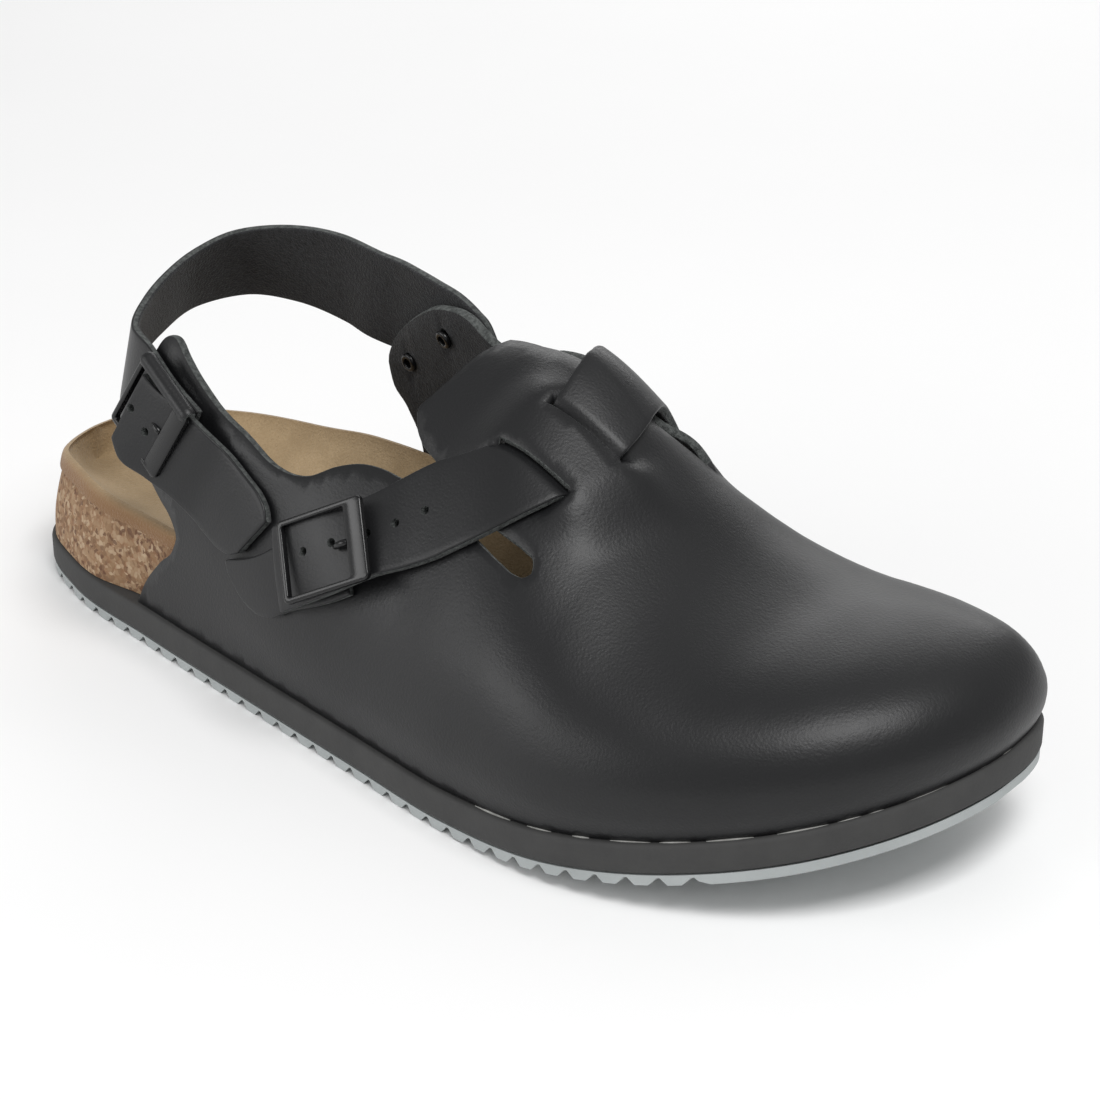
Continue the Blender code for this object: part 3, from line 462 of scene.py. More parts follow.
def bowl(lift, ends=False):
    """Rows of points across the footbed's top, lifted off it."""
    rim = np.c_[outline(BED_COUNT, rim_inset), rim_height]
    v = np.linspace(-1, 1, BED_ACROSS + 2)
    v = v if ends else v[1:-1]
    rows = [None] * (BED_COUNT // 2 + 1)
    for i in range(1, BED_COUNT // 2):
        a, b = rim[i], rim[BED_COUNT - i]
        plan = a + (b - a) * ((v + 1) / 2)[:, None]
        floor, power = np.moveaxis(curve(FLOOR, plan[:, 0] / LENGTH), -1, 0)
        side = np.where(v < 0, a[2], b[2])
        rows[i] = np.c_[plan[:, :2], floor + (side - floor) * np.abs(v) ** power + lift]
    return rows


# %% The cork block and its suede
start = base(bed_x) + GAP
wall = [start + (rim_height - start) * share for share in np.linspace(0, 1, 15)]
points, faces = rings([np.c_[outline(BED_COUNT, wall_at(height)), height] for height in wall], bowl(0.0))
piece("cork_footbed", points, faces, ["cork"], replaces=["footbed"], sharp=50)

# outward from the wall or rim, height from the rim, how much darker and browner the suede is there
TURNED_EDGE = [
    (0.15, -2.6, 1.0), (0.75, -2.7, 1.0), (0.95, -2.0, 1.0), (1.05, -0.9, 1.0),
    (1.0, 0.2, 0.9), (0.65, 1.1, 0.6), (0.0, 1.6, 0.3), (-0.9, 1.7, 0.12),
]
SUEDE_UNDER = 0.15
levels = [
    np.c_[outline(BED_COUNT, wall_at(rim_height + min(height, 0.0)) - out), rim_height + height]
    for out, height, _ in TURNED_EDGE
]
points, faces = rings(levels, bowl(SUEDE_LIFT + SUEDE), bowl(SUEDE_UNDER, ends=True))
from_rim = np.zeros(len(points))
from_rim[: BED_COUNT * len(levels)] = np.repeat([toward_rim for _, _, toward_rim in TURNED_EDGE], BED_COUNT)
piece(
    "suede_sheet", points, faces, ["suede"], replaces=["footbed_lining"], sharp=60,
    marks={"rim": from_rim},
)

# %% [markdown]
# ## The upper
#
# One leather shell: the vamp over the toes, the tongue flap and both quarters. The cutting pattern is a
# closed line on the last with two slits and two rivet holes in it. A grid can't follow such a pattern, so
# the points are joined by a constrained triangulation in a flattened view of the last, and then every point
# goes to its place on the last. A second wall lies one thickness inside it, and the cut edge between them is
# a little round, as a worn knife cut is.

# %% The cutting pattern
# x over the length and share across: -1 outer foot, 0 ridge, 1 inner foot
QUARTERS = [
    (0.198, -1.0), (0.208, -0.94), (0.232, -0.85), (0.253, -0.785), (0.257, -0.75), (0.251, -0.722),
    (0.232, -0.683), (0.206, -0.635), (0.188, -0.61), (0.182, -0.585), (0.190, -0.52), (0.208, -0.42),
    (0.222, -0.375), (0.236, -0.366), (0.250, -0.385), (0.262, -0.400), (0.288, -0.420), (0.334, -0.430),
    (0.370, -0.440), (0.390, -0.433), (0.408, -0.415), (0.431, -0.367), (0.452, -0.336), (0.473, -0.323),
    (0.492, -0.323), (0.540, -0.343), (0.592, -0.365), (0.625, -0.371), (0.641, -0.369), (0.651, -0.357),
    (0.6545, -0.340), (0.651, -0.323), (0.638, -0.318), (0.623, -0.322), (0.606, -0.326), (0.585, -0.321),
    (0.560, -0.308), (0.536, -0.290), (0.514, -0.269), (0.496, -0.249), (0.483, -0.222),
    (0.477, -0.197), (0.483, -0.162), (0.490, -0.111), (0.497, -0.05), (0.505, 0.0), (0.513, 0.04),
    (0.527, 0.07), (0.550, 0.085), (0.590, 0.088), (0.620, 0.088), (0.640, 0.095), (0.653, 0.145),
    (0.662, 0.19), (0.668, 0.225), (0.663, 0.247), (0.650, 0.235), (0.636, 0.195), (0.620, 0.165),
    (0.590, 0.145), (0.560, 0.137), (0.540, 0.139), (0.520, 0.147), (0.500, 0.156), (0.479, 0.168),
    (0.457, 0.190), (0.436, 0.228), (0.416, 0.272), (0.396, 0.312), (0.376, 0.345), (0.355, 0.389),
    (0.335, 0.437), (0.320, 0.475), (0.309, 0.508), (0.302, 0.545), (0.304, 0.585), (0.321, 0.635),
    (0.336, 0.70), (0.340, 0.76), (0.325, 0.84),
    (0.290, 0.92), (0.262, 0.965), (0.250, 1.0),
]
# the bridge between the slits: its outer and inner edge, then how far a slit opens
BRIDGE_OUTER = [(0.5735, -0.202), (0.642, -0.189)]
BRIDGE_INNER = [(0.590, -0.116), (0.652, -0.087)]
BRIDGE = 3.1
SLIT_OPEN = 0.018
# how far past the bridge's edge, as a share across, the strap takes to come up, and its gap to the bridge
DIVE, UNDER_BRIDGE = 0.026, 0.15
# the bridge runs aslant: millimetres along for a share across, and the share across at its middle
SLANT, BRIDGE_MIDDLE = 36.0, -0.21
# where the bridge rises and falls along the shoe, and where the slits begin and end
ARCH_START, ARCH_END = (145, 160), (179, 195)
SLIT_START, SLIT_END = (159, 163), (177.5, 181.5)
# how far beside the bridge, as a share across, the leather settles back on the last
SETTLE = 0.09
SLIT_OUTER = [*BRIDGE_OUTER, *[(x, v - SLIT_OPEN) for x, v in BRIDGE_OUTER[::-1]]]
SLIT_INNER = [*BRIDGE_INNER, *[(x, v + SLIT_OPEN) for x, v in BRIDGE_INNER[::-1]]]
# one hole each: x over the length, share across, radius
RIVET_HOLES = [(0.332, 0.517, 1.8), (0.389, 0.385, 1.8)]
# the middle of the slot beside the flap on the inner side
INNER_SLOT = [(0.50, 0.11), (0.60, 0.117), (0.64, 0.15), (0.67, 0.24)]
# soft rises and hollows: x over the length, share across, height, reach along and across in millimetres
SWELLS = [
    (0.430, 0.26, 2.4, 14.0, 10.0), (0.490, 0.165, 2.0, 14.0, 9.0), (0.548, 0.14, 3.2, 10.0, 8.0),
    (0.590, 0.15, 1.5, 8.0, 7.0), (0.652, 0.20, 2.8, 5.0, 8.0),
]
PUCKERS = [
    (0.563, -0.214, 0.25, 2.4, 2.0), (0.650, -0.200, 0.25, 3.0, 1.6), (0.578, -0.106, 0.25, 3.0, 1.6),
]


def bridge(x, across):
    """Round the slits: the leather's height, the bridge's own, and 1 under the bridge to 0 beside it."""
    outer = np.interp(x, *(np.array(BRIDGE_OUTER) * (LENGTH, 1)).T)
    inner = np.interp(x, *(np.array(BRIDGE_INNER) * (LENGTH, 1)).T)
    along = x - SLANT * (across - BRIDGE_MIDDLE)
    arch = BRIDGE * smooth(along, *ARCH_START) * (1 - smooth(along, *ARCH_END))
    ends = 1 - smooth(along, *SLIT_START) * (1 - smooth(along, *SLIT_END))
    out = np.maximum(np.maximum(outer - across, across - inner), 0)
    beside = arch * ends * (1 - smooth(out, 0.0, SETTLE))
    return np.where(out < 0.003, arch, beside), arch, 1 - smooth(out, -0.006, DIVE)


def swell(x, across, rows):
    """The sum of soft rises at a place."""
    total = np.zeros(np.shape(x))
    for x0, v0, height, along, aside in rows:
        total += height * np.exp(-(((x - x0 * LENGTH) / along) ** 2) - ((across - v0) * GIRTH / aside) ** 2)
    return total


def relief(x, across):
    """How far the leather stands off the last."""
    slot = np.interp(x, *(np.array(INNER_SLOT) * (LENGTH, 1)).T)
    return bridge(x, across)[0] + swell(x, across, SWELLS) * (across > slot) + swell(x, across, PUCKERS)


# %% The flattened view and its tests
def trace(rows, step):
    """A smooth run of (x, across) points through the rows, about one step apart."""
    rows = np.asarray(rows, float) * (LENGTH, 1)
    run = lengths(rows * (1, 50))
    at = np.linspace(0, run[-1], max(2, int(round(run[-1] / step)) + 1))
    return curve(np.c_[run, rows], at)


def flat(run, up):
    """The place in the flattened view of a point of the last."""
    edge, ridge = edge_and_ridge(run)
    return ridge + (edge - ridge) * (1 - np.asarray(up, float))[..., None]


def flat_side(x, across):
    """The same from x and the share across."""
    run = np.where(across < 0, run_at(x, -1), run_at(x, 1))
    return flat(run, 1 - np.abs(across))


def inside(points, loop):
    """True for each point that a closed line goes round."""
    x, y = points[:, 0, None], points[:, 1, None]
    a, b = loop, np.roll(loop, -1, 0)
    over = (a[:, 1] > y) != (b[:, 1] > y)
    with np.errstate(divide="ignore", invalid="ignore"):
        cross = a[:, 0] + (y - a[:, 1]) * (b[:, 0] - a[:, 0]) / (b[:, 1] - a[:, 1])
    return (over & (x < cross)).sum(1) % 2 == 1


def apart(points, loop):
    """How far each point is from a closed line."""
    a, b = loop, np.roll(loop, -1, 0)
    ab = b - a
    t = np.clip(((points[:, None] - a) * ab).sum(-1) / np.maximum((ab**2).sum(-1), 1e-9), 0, 1)
    return np.linalg.norm(points[:, None] - (a + t[..., None] * ab), axis=-1).min(1)


# %% The pattern's rims and the points between them
RIM_STEP, FOOT_STEP, FILL_STEP, CLEAR = 0.9, 1.8, 1.35, 0.75
# points on the long and the short sides of a slit, and round a hole
SLIT_POINTS = (22, 4, 22, 4)
HOLE_SIDES = 20
# stations along the foot edge and up to the ridge, then the ridge's own points: from, to and step
RUN_STATIONS, UP_STATIONS = 420, 74
RIDGE_POINTS = (130.0, 276.0, 1.3)


def as_rim(rows):
    """A rim's (x, across) places, its line in the flattened view and its line on the last."""
    return rows, flat_side(rows[:, 0], rows[:, 1]), on_side(rows[:, 0], rows[:, 1])


def pattern_rims():
    """All rims of the pattern, the outside first, then the slits and the rivet holes."""
    cut = trace(QUARTERS, RIM_STEP)
    foot = np.arange(run_at(cut[-1, 0], 1), run_at(cut[0, 0], -1), -FOOT_STEP)[1:]
    foot_edge = edge_and_ridge(foot)[0]
    foot_side = np.where(foot > EDGE_RUN[TIP], 1.0, -1.0)
    rims = [(
        np.vstack([cut, np.c_[foot_edge[:, 0], foot_side]]),
        np.vstack([flat_side(cut[:, 0], cut[:, 1]), flat(foot, np.zeros(len(foot)))]),
        np.vstack([on_side(cut[:, 0], cut[:, 1]), on_last(foot, np.zeros(len(foot)))]),
    )]
    for slit in (SLIT_OUTER, SLIT_INNER):
        rows = np.vstack([
            a + (b - a) * np.linspace(0, 1, n, endpoint=False)[:, None]
            for a, b, n in zip(np.array(slit), np.roll(np.array(slit), -1, 0), SLIT_POINTS)
        ]) * (LENGTH, 1)
        rims.append(as_rim(rows))
    turn = np.linspace(0, 2 * math.pi, HOLE_SIDES, endpoint=False)
    for x, v, radius in RIVET_HOLES:
        rims.append(as_rim(np.c_[x * LENGTH + radius * np.cos(turn), v + radius / GIRTH * np.sin(turn)]))
    return rims


def fill_points(rims):
    """Points of the leather between the rims, one in each small cell of the flattened view."""
    runs = np.linspace(0, EDGE_RUN[-1], RUN_STATIONS)
    ups = np.linspace(0.012, 0.988, UP_STATIONS)
    run, up = (grid.ravel() for grid in np.meshgrid(runs, ups, indexing="ij"))
    ridge_run = run_at(np.arange(*RIDGE_POINTS), -1)
    run, up = np.r_[ridge_run, run], np.r_[np.ones(len(ridge_run)), up]
    plan = flat(run, up)
    _, first = np.unique(np.floor(plan / FILL_STEP), axis=0, return_index=True)
    run, up, plan = run[first], up[first], plan[first]
    keep = inside(plan, rims[0][1])
    for _, rim, _ in rims[1:]:
        keep &= ~inside(plan, rim)
    run, up, plan = run[keep], up[keep], plan[keep]
    keep = np.ones(len(plan), bool)
    for _, rim, _ in rims:
        for part in np.array_split(np.arange(len(plan)), 12):
            keep[part] &= apart(plan[part], rim) > CLEAR
    run, up, plan = run[keep], up[keep], plan[keep]
    x = edge_and_ridge(run)[0][:, 0]
    return np.c_[x, np.where(run < EDGE_RUN[TIP], up - 1, 1 - up)], plan, on_last(run, up)


# %% Join the points and give the leather its thickness
EDGE_ROUND = 0.28
# share of the thickness, share of the rounding
CUT_PROFILE = [(0.0, 0.0), (0.08, 0.45), (0.25, 0.85), (0.5, 1.0), (0.75, 0.85), (0.92, 0.45), (1.0, 0.0)]


def joined(rims, places, plan, body):
    """Triangles of the leather with their (x, across) places and points on the last."""
    start = len(plan)
    edges = []
    for where, rim, on_it in rims:
        edges += [(start + k, start + (k + 1) % len(rim)) for k in range(len(rim))]
        start += len(rim)
        places, plan, body = np.vstack([places, where]), np.vstack([plan, rim]), np.vstack([body, on_it])
    made = delaunay_2d_cdt([Vector(p) for p in plan], edges, [], 0, 1e-5)
    found = np.array([tuple(v) for v in made[0]])
    first = [ids[0] for ids in made[3]]
    faces = np.array(made[2])
    middle = found[faces].mean(1)
    kept = inside(middle, rims[0][1])
    for _, rim, _ in rims[1:]:
        kept &= ~inside(middle, rim)
    return faces[kept], places[first], body[first]


def point_normals(points, faces):
    """Outward directions at the points of a triangle mesh."""
    side = np.cross(points[faces[:, 1]] - points[faces[:, 0]], points[faces[:, 2]] - points[faces[:, 0]])
    normal = np.zeros_like(points)
    for k in range(3):
        np.add.at(normal, faces[:, k], side)
    return normal / np.maximum(np.linalg.norm(normal, axis=1), 1e-9)[:, None]


def shell(faces, places, body):
    """Outer wall, inner wall and the rounded cut edge between them, with a kind for each face."""
    used, faces = np.unique(faces, return_inverse=True)
    faces = faces.reshape(-1, 3)
    places, body = places[used], body[used]
    side = np.cross(body[faces[:, 1]] - body[faces[:, 0]], body[faces[:, 2]] - body[faces[:, 0]])
    if (side * (body[faces].mean(1) - (150, 0, 30))).sum() < 0:
        faces = faces[:, ::-1]
    outer = body + point_normals(body, faces) * relief(places[:, 0], places[:, 1])[:, None]
    normal = point_normals(outer, faces)
    pairs = {(a, b) for face in faces.tolist() for a, b in zip(face, face[1:] + face[:1])}
    rim = np.array([(a, b) for a, b in pairs if (b, a) not in pairs])
    along = outer[rim[:, 1]] - outer[rim[:, 0]]
    aside = np.zeros_like(outer)
    for k in (0, 1):
        np.add.at(aside, rim[:, k], np.cross(along, normal[rim[:, k]]))
    aside /= np.maximum(np.linalg.norm(aside, axis=1), 1e-9)[:, None]
    on_rim = np.unique(rim)
    slot = np.full(len(outer), -1)
    slot[on_rim] = np.arange(len(on_rim))
    count, width = len(outer), len(on_rim)
    rows = [outer, outer - normal * LEATHER]
    for depth, out in CUT_PROFILE[1:-1]:
        rows.append(outer[on_rim] - normal[on_rim] * LEATHER * depth + aside[on_rim] * EDGE_ROUND * out)
    between = [2 * count + k * width + slot[rim] for k in range(len(CUT_PROFILE) - 2)]
    levels = [rim, *between, rim + count]
    walls = np.vstack([
        np.stack([b[:, 0], b[:, 1], a[:, 1], a[:, 0]], -1) for a, b in zip(levels[:-1], levels[1:])
    ])
    whole = faces.tolist() + (faces[:, ::-1] + count).tolist() + walls.tolist()
    kinds = np.repeat([0, 2, 1], [len(faces), len(faces), len(walls)])
    return np.vstack(rows), whole, kinds


rims = pattern_rims()
points, faces, kinds = shell(*joined(rims, *fill_points(rims)))
LEATHER_FINISHES = ["black_leather", "cut_edge", "leather_back"]
piece("leather_upper", points, faces, LEATHER_FINISHES, kinds, replaces=["upper"], sharp=75)

# %% [markdown]
# ## The straps
#
# Each strap is a band of thick leather with both edges given on the last. The instep strap is woven: it goes
# down through one slit, under the bridge and up through the other. Its edges are rounded by lowering the
# outermost columns of the grid, which keeps the band one clean mesh. The prong holes are cut with a Boolean,
# because a painted dot has no depth from the side.

# %% A band between two edges
STRAP, PATCH, HEEL_STRAP = 2.4, 2.0, 2.1
STRAP_WIDTH, HEEL_WIDTH = 20.0, 20.8
SOFT_EDGE = 0.5
# how far in from each edge the outermost columns lie
EDGE_COLUMNS = [0.0, 0.07, 0.2, 0.5]


def shares(width, fill):
    """Shares across a band: close together at both edges, even between them."""
    near = np.array(EDGE_COLUMNS) / width
    return np.r_[near, np.linspace(near[-1], 1 - near[-1], fill)[1:-1], 1 - near[::-1]]


def rounded_slab(under, out, thick, edge=SOFT_EDGE):
    """A band of a thickness over a grid of points, with all its edges rounded."""
    def from_edge(grid, axis):
        run = np.cumsum(np.linalg.norm(np.diff(grid, axis=axis), axis=-1), axis=axis)
        run = np.concatenate([np.zeros_like(np.take(run, [0], axis)), run], axis)
        return np.minimum(run, np.take(run, [-1], axis) - run)

    fall = 0
    for axis in (0, 1):
        inward = np.clip(edge - from_edge(under, axis), 0, edge)
        fall = fall + edge - np.sqrt(edge**2 - inward**2)
    fall = np.minimum(fall, 0.45 * thick)[..., None]
    return slab(under + out * fall, under + out * (thick - fall))


def on_grid(rows, woven, stations, fill):
    """The under side of a band on the last and its outward directions."""
    rows = np.asarray(rows, float)
    high, low = rows[:, :2] * (LENGTH, 1), rows[:, 2:4] * (LENGTH, 1)
    run = lengths((on_side(*high.T) + on_side(*low.T)) / 2)
    at = run[-1] * shares(run[-1], stations)
    data = curve(np.c_[run, high, low, rows[:, 4], rows[:, -1]], at)
    share = shares(STRAP_WIDTH, fill)
    x = data[:, 0, None] + (data[:, 2] - data[:, 0])[:, None] * share
    v = data[:, 1, None] + (data[:, 3] - data[:, 1])[:, None] * share
    height = data[:, 4, None] + (data[:, 5] - data[:, 4])[:, None] * share
    if woven:
        _, arch, under = bridge(x, v)
        height = height + (arch - LEATHER - STRAP - UNDER_BRIDGE - height) * under
    out = normal_at(x, v)
    return on_side(x, v) + out * height[..., None], out


# %% Holes punched through a band
def punch(body, spots, radius, depth=4.0):
    """Cuts round holes at (x, across) places through a finished band."""
    turn = np.linspace(0, 2 * math.pi, HOLE_SIDES, endpoint=False)
    points, faces = [], []
    for x, v in spots:
        seat, out, side, rise = seat_at(x, v)
        first = len(points)
        for lift in (-depth, 3 * depth):
            points += [seat + out * lift + radius * (side * math.cos(t) + rise * math.sin(t)) for t in turn]
        ring = list(range(first, first + HOLE_SIDES))
        faces += [[first + k for k in face] for face in loop_faces(2, HOLE_SIDES)]
        faces += [ring[::-1], [k + HOLE_SIDES for k in ring]]
    mesh = new_mesh("punch", points, faces)
    mesh.materials.append(FINISHES["cut_edge"])
    tool = new_object("punch", mesh)
    cut = body.modifiers.new("holes", "BOOLEAN")
    cut.operation = "DIFFERENCE"
    cut.solver = "EXACT"
    cut.object = tool
    graph = bpy.context.evaluated_depsgraph_get()
    made = bpy.data.meshes.new_from_object(
        body.evaluated_get(graph), preserve_all_data_layers=True, depsgraph=graph
    )
    body.modifiers.remove(cut)
    body.data = made
    bpy.data.objects.remove(tool)
    made.set_sharp_from_angle(angle=math.radians(50))
    print(body.name, "has", len(spots), "holes")


# %% The instep strap, the patch under its buckle and the heel strap's tongue
# both edges of a strap as (x over the length, share across), and the height it lies at; two heights
# stand for the two edges
INSTEP_STRAP = [
    (0.400, -0.535, 0.430, -0.710, 2.6, 2.6), (0.416, -0.500, 0.449, -0.666, 3.2, 3.2),
    (0.446, -0.445, 0.482, -0.592, 3.8, 3.8), (0.485, -0.374, 0.518, -0.516, 2.6, 2.5),
    (0.505, -0.324, 0.545, -0.470, 0.9, 0.9), (0.527, -0.281, 0.573, -0.423, 0.4, 0.4),
    (0.551, -0.246, 0.608, -0.338, 0.4, 0.5), (0.571, -0.212, 0.638, -0.225, 0.4, 0.8),
    (0.591, -0.102, 0.652, -0.080, 0.4, 0.4), (0.580, 0.025, 0.641, 0.045, 2.2, 1.2),
    (0.571, 0.135, 0.628, 0.160, 3.4, 1.5), (0.566, 0.28, 0.625, 0.30, 2.2, 0.9),
    (0.560, 0.50, 0.628, 0.515, 0.5, 0.5), (0.556, 0.70, 0.627, 0.71, 0.4, 0.4),
    (0.554, 0.88, 0.625, 0.885, 0.4, 0.4),
]
BUCKLE_PATCH = [
    (0.339, -0.700, 0.345, -0.725, 0.3), (0.345, -0.690, 0.366, -0.765, 0.3),
    (0.358, -0.672, 0.384, -0.778, 0.3), (0.376, -0.640, 0.405, -0.765, 0.3),
    (0.398, -0.585, 0.428, -0.715, 0.3), (0.425, -0.495, 0.460, -0.650, 0.3),
    (0.460, -0.430, 0.494, -0.575, 0.3),
]
HEEL_TONGUE = [
    (0.234, -0.424, 0.208, -0.556, 6.0, 8.2), (0.246, -0.436, 0.217, -0.588, 5.2, 7.8),
    (0.275, -0.450, 0.243, -0.612, 3.8, 5.2), (0.300, -0.460, 0.270, -0.632, 2.6, 2.8),
    (0.324, -0.472, 0.292, -0.655, 0.8, 0.8), (0.350, -0.488, 0.316, -0.675, 0.4, 0.4),
    (0.370, -0.502, 0.334, -0.682, 0.4, 0.4), (0.380, -0.520, 0.346, -0.676, 0.4, 0.4),
    (0.385, -0.542, 0.358, -0.655, 0.4, 0.4),
]
# the middle of each hole: x in millimetres, share across
INSTEP_HOLES = [(145.4, -0.405), (151.3, -0.362), (139.7, -0.442), (124.2, -0.536), (131.3, -0.488)]
TONGUE_HOLES = [(63.5, -0.488), (68.2, -0.520)]
HOLE = 1.1


def band(name, rows, thick, stations, fill, woven=False):
    """A strap piece on the last that stands for the model's part of the same name."""
    under, out = on_grid(rows, woven, stations, fill)
    points, faces, kinds = rounded_slab(under, out, thick)
    return piece(name, points, faces, LEATHER_FINISHES, kinds, replaces=[name.replace("leather_", "")])


woven_strap = band("leather_instep_strap", INSTEP_STRAP, STRAP, 200, 18, woven=True)
punch(woven_strap, INSTEP_HOLES, HOLE)
band("leather_buckle_patch", BUCKLE_PATCH, PATCH, 60, 16)
tongue = band("leather_heel_strap_tongue", HEEL_TONGUE, STRAP, 70, 16)
punch(tongue, TONGUE_HOLES, HOLE)

# %% The heel strap
# the outer face: on the outer tab, free behind the heel, then on the inner tab
HEEL_OUTER = [
    (0.284, -0.448, 0.256, -0.610, 2.6), (0.250, -0.430, 0.222, -0.598, 2.7),
    (0.216, -0.395, 0.190, -0.575, 3.0),
]
# along, across, up, lean in degrees, width over the strap's width
HEEL_FREE = [
    (0.1600, -0.210, 0.777, 14, 1.0), (0.138, -0.115, 0.804, 17, 1.0), (0.124, 0.0, 0.833, 20, 1.0),
    (0.119, 0.124, 0.859, 24, 1.0), (0.139, 0.230, 0.882, 22, 1.03), (0.186, 0.290, 0.894, 16, 1.125),
    (0.244, 0.318, 0.882, 10, 1.23),
]
HEEL_INNER = [
    (0.299, 0.357, 0.274, 0.520, 3.8), (0.319, 0.350, 0.296, 0.535, 4.0),
    (0.345, 0.330, 0.323, 0.525, 4.0), (0.372, 0.313, 0.350, 0.495, 3.8),
    (0.397, 0.298, 0.376, 0.458, 3.4), (0.418, 0.280, 0.400, 0.414, 3.0),
    (0.433, 0.265, 0.420, 0.372, 2.6), (0.438, 0.285, 0.432, 0.330, 2.6),
]
# a point inside the heel's loop; the strap's outer face looks away from it
HEEL_MIDDLE = (60, 0, 75)


def free_rails(rows):
    """Both edges of the strap where it stands free: the rows give its middle, its lean and its width."""
    middle = rows[:, :3] * (LENGTH, BALL, INSTEP)
    along = unit(np.gradient(middle, axis=0))
    out = unit(np.cross(along, (0, 0, 1.0)))
    out *= np.sign(((middle - HEEL_MIDDLE) * out).sum(1))[:, None]
    rise = np.cross(out, along)
    rise *= np.sign(rise[:, 2:3])
    lean = np.radians(rows[:, 3:4])
    half = (rise * np.cos(lean) - out * np.sin(lean)) * rows[:, 4:5] * HEEL_WIDTH / 2
    return middle + half, middle - half


def rails_on_last(rows):
    """Both edges of the strap where it lies on a tab."""
    rails = []
    for edge in (rows[:, :2], rows[:, 2:4]):
        x, v = edge[:, 0] * LENGTH, edge[:, 1]
        height = rows[:, 4] + swell(x, v, SWELLS) * (v > 0)
        rails.append(on_side(x, v) + normal_at(x, v) * height[:, None])
    return rails


def heel_strap():
    """The strap behind the heel, from the outer tab round to the inner one."""
    outer, free, inner = (np.array(rows) for rows in (HEEL_OUTER, HEEL_FREE, HEEL_INNER))
    parts = [rails_on_last(outer), free_rails(free), rails_on_last(inner)]
    high, low = (np.vstack(rails) for rails in zip(*parts))
    run = lengths((high + low) / 2)
    data = curve(np.c_[run, high, low], run[-1] * shares(run[-1], 200))
    a, b = data[:, None, :3], data[:, None, 3:]
    under = a + (b - a) * shares(HEEL_WIDTH, 16)[None, :, None]
    out = unit(np.cross(np.gradient(under, axis=0), np.gradient(under, axis=1)))
    return rounded_slab(under - out * HEEL_STRAP, out, HEEL_STRAP)


points, faces, kinds = heel_strap()
piece("leather_heel_strap", points, faces, LEATHER_FINISHES, kinds, replaces=["heel_strap"])

# %% [markdown]
# ## The buckles
#
# Each buckle is a flat frame of painted metal with one wide plate, the window for the strap and a prong. The
# frame is a row of rounded loops, each joined to the next and the last to the first, so its window is a real
# opening. On the heel buckle the strap's end is rolled over the upper bar, and that roll is a curved band.

# %% Frames
# corners as x over the length, share across and height: far top, plate top, plate foot, far foot
INSTEP_FRAME = [
    (0.4084, -0.5129, 5.13), (0.4884, -0.3847, 7.48), (0.5263, -0.51, 5.31), (0.4509, -0.6664, 7.19),
]
HEEL_FRAME = [
    (0.2284, -0.3861, 5.95), (0.2904, -0.4498, 6.10), (0.2613, -0.5989, 5.92), (0.1953, -0.5397, 6.11),
]
FRAME_BAR, FRAME_PLATE, FRAME_THICK, FRAME_LIFT = 1.4, 5.2, 1.6, 0.5
FRAME_CORNER, WINDOW_CORNER = 1.3, 0.6
# inset of the outer loop, height over the thickness
FRAME_OUTSIDE = [(0.3, 0.0), (0.0, 0.2), (0.0, 0.75), (0.12, 0.92), (0.4, 1.0)]
# growth of the window's loop, height over the thickness
FRAME_WINDOW = [(0.25, 1.0), (0.06, 0.93), (0.0, 0.8), (0.0, 0.0)]
# reach from the plate, height, radius
PRONG = [
    (0.0, 1.0, 0.6), (-0.3, 1.05, 0.85), (-1.5, 1.1, 0.85),
    (-2.64, 0.95, 0.8), (-3.96, 0.5, 0.7), (-4.4, 0.1, 0.5),
]


def frame_axes(corners):
    """Middle, axes and sizes of a buckle frame from its corners on the last."""
    x, v, height = np.array(corners).T * [[LENGTH], [1], [1]]
    far_top, plate_top, plate_foot, far_foot = on_side(x, v) + normal_at(x, v) * height[:, None]
    middle = (far_top + plate_top + plate_foot + far_foot) / 4
    along = plate_top + plate_foot - far_top - far_foot
    half_width = np.linalg.norm(along) / 4
    along = unit(along)
    across = far_top + plate_top - plate_foot - far_foot
    across -= along * (across @ along)
    half_height = np.linalg.norm(across) / 4
    across = unit(across)
    out = np.cross(along, across)
    return middle + out * FRAME_LIFT, along, across, out, half_width, half_height


def rounded(left, right, foot, top, radius, count=9):
    """A rectangle with rounded corners, as points (along, across)."""
    turn = np.linspace(0, math.pi / 2, count)
    return np.array([
        (x + radius * math.cos(t + q), y + radius * math.sin(t + q))
        for x, y, q in (
            (right - radius, top - radius, 0), (left + radius, top - radius, math.pi / 2),
            (left + radius, foot + radius, math.pi), (right - radius, foot + radius, 1.5 * math.pi),
        )
        for t in turn
    ])


# a direction that no path runs along
OFF_THE_PATH = (0.31, 0.17, 0.93)


def tube(path, radii, sides=16):
    """A closed tube along a path, with a radius at each of its points."""
    path = np.asarray(path, float)
    along = unit(np.gradient(path, axis=0))
    side = unit(np.cross(along, OFF_THE_PATH))
    rise = np.cross(along, side)
    turn = np.linspace(0, 2 * math.pi, sides, endpoint=False)
    ring = side[:, None] * np.cos(turn)[:, None] + rise[:, None] * np.sin(turn)[:, None]
    points = (path[:, None] + ring * np.asarray(radii, float)[:, None, None]).reshape(-1, 3)
    last = (len(path) - 1) * sides
    ends = [list(range(sides))[::-1], list(range(last, last + sides))]
    return points, loop_faces(len(path), sides) + ends


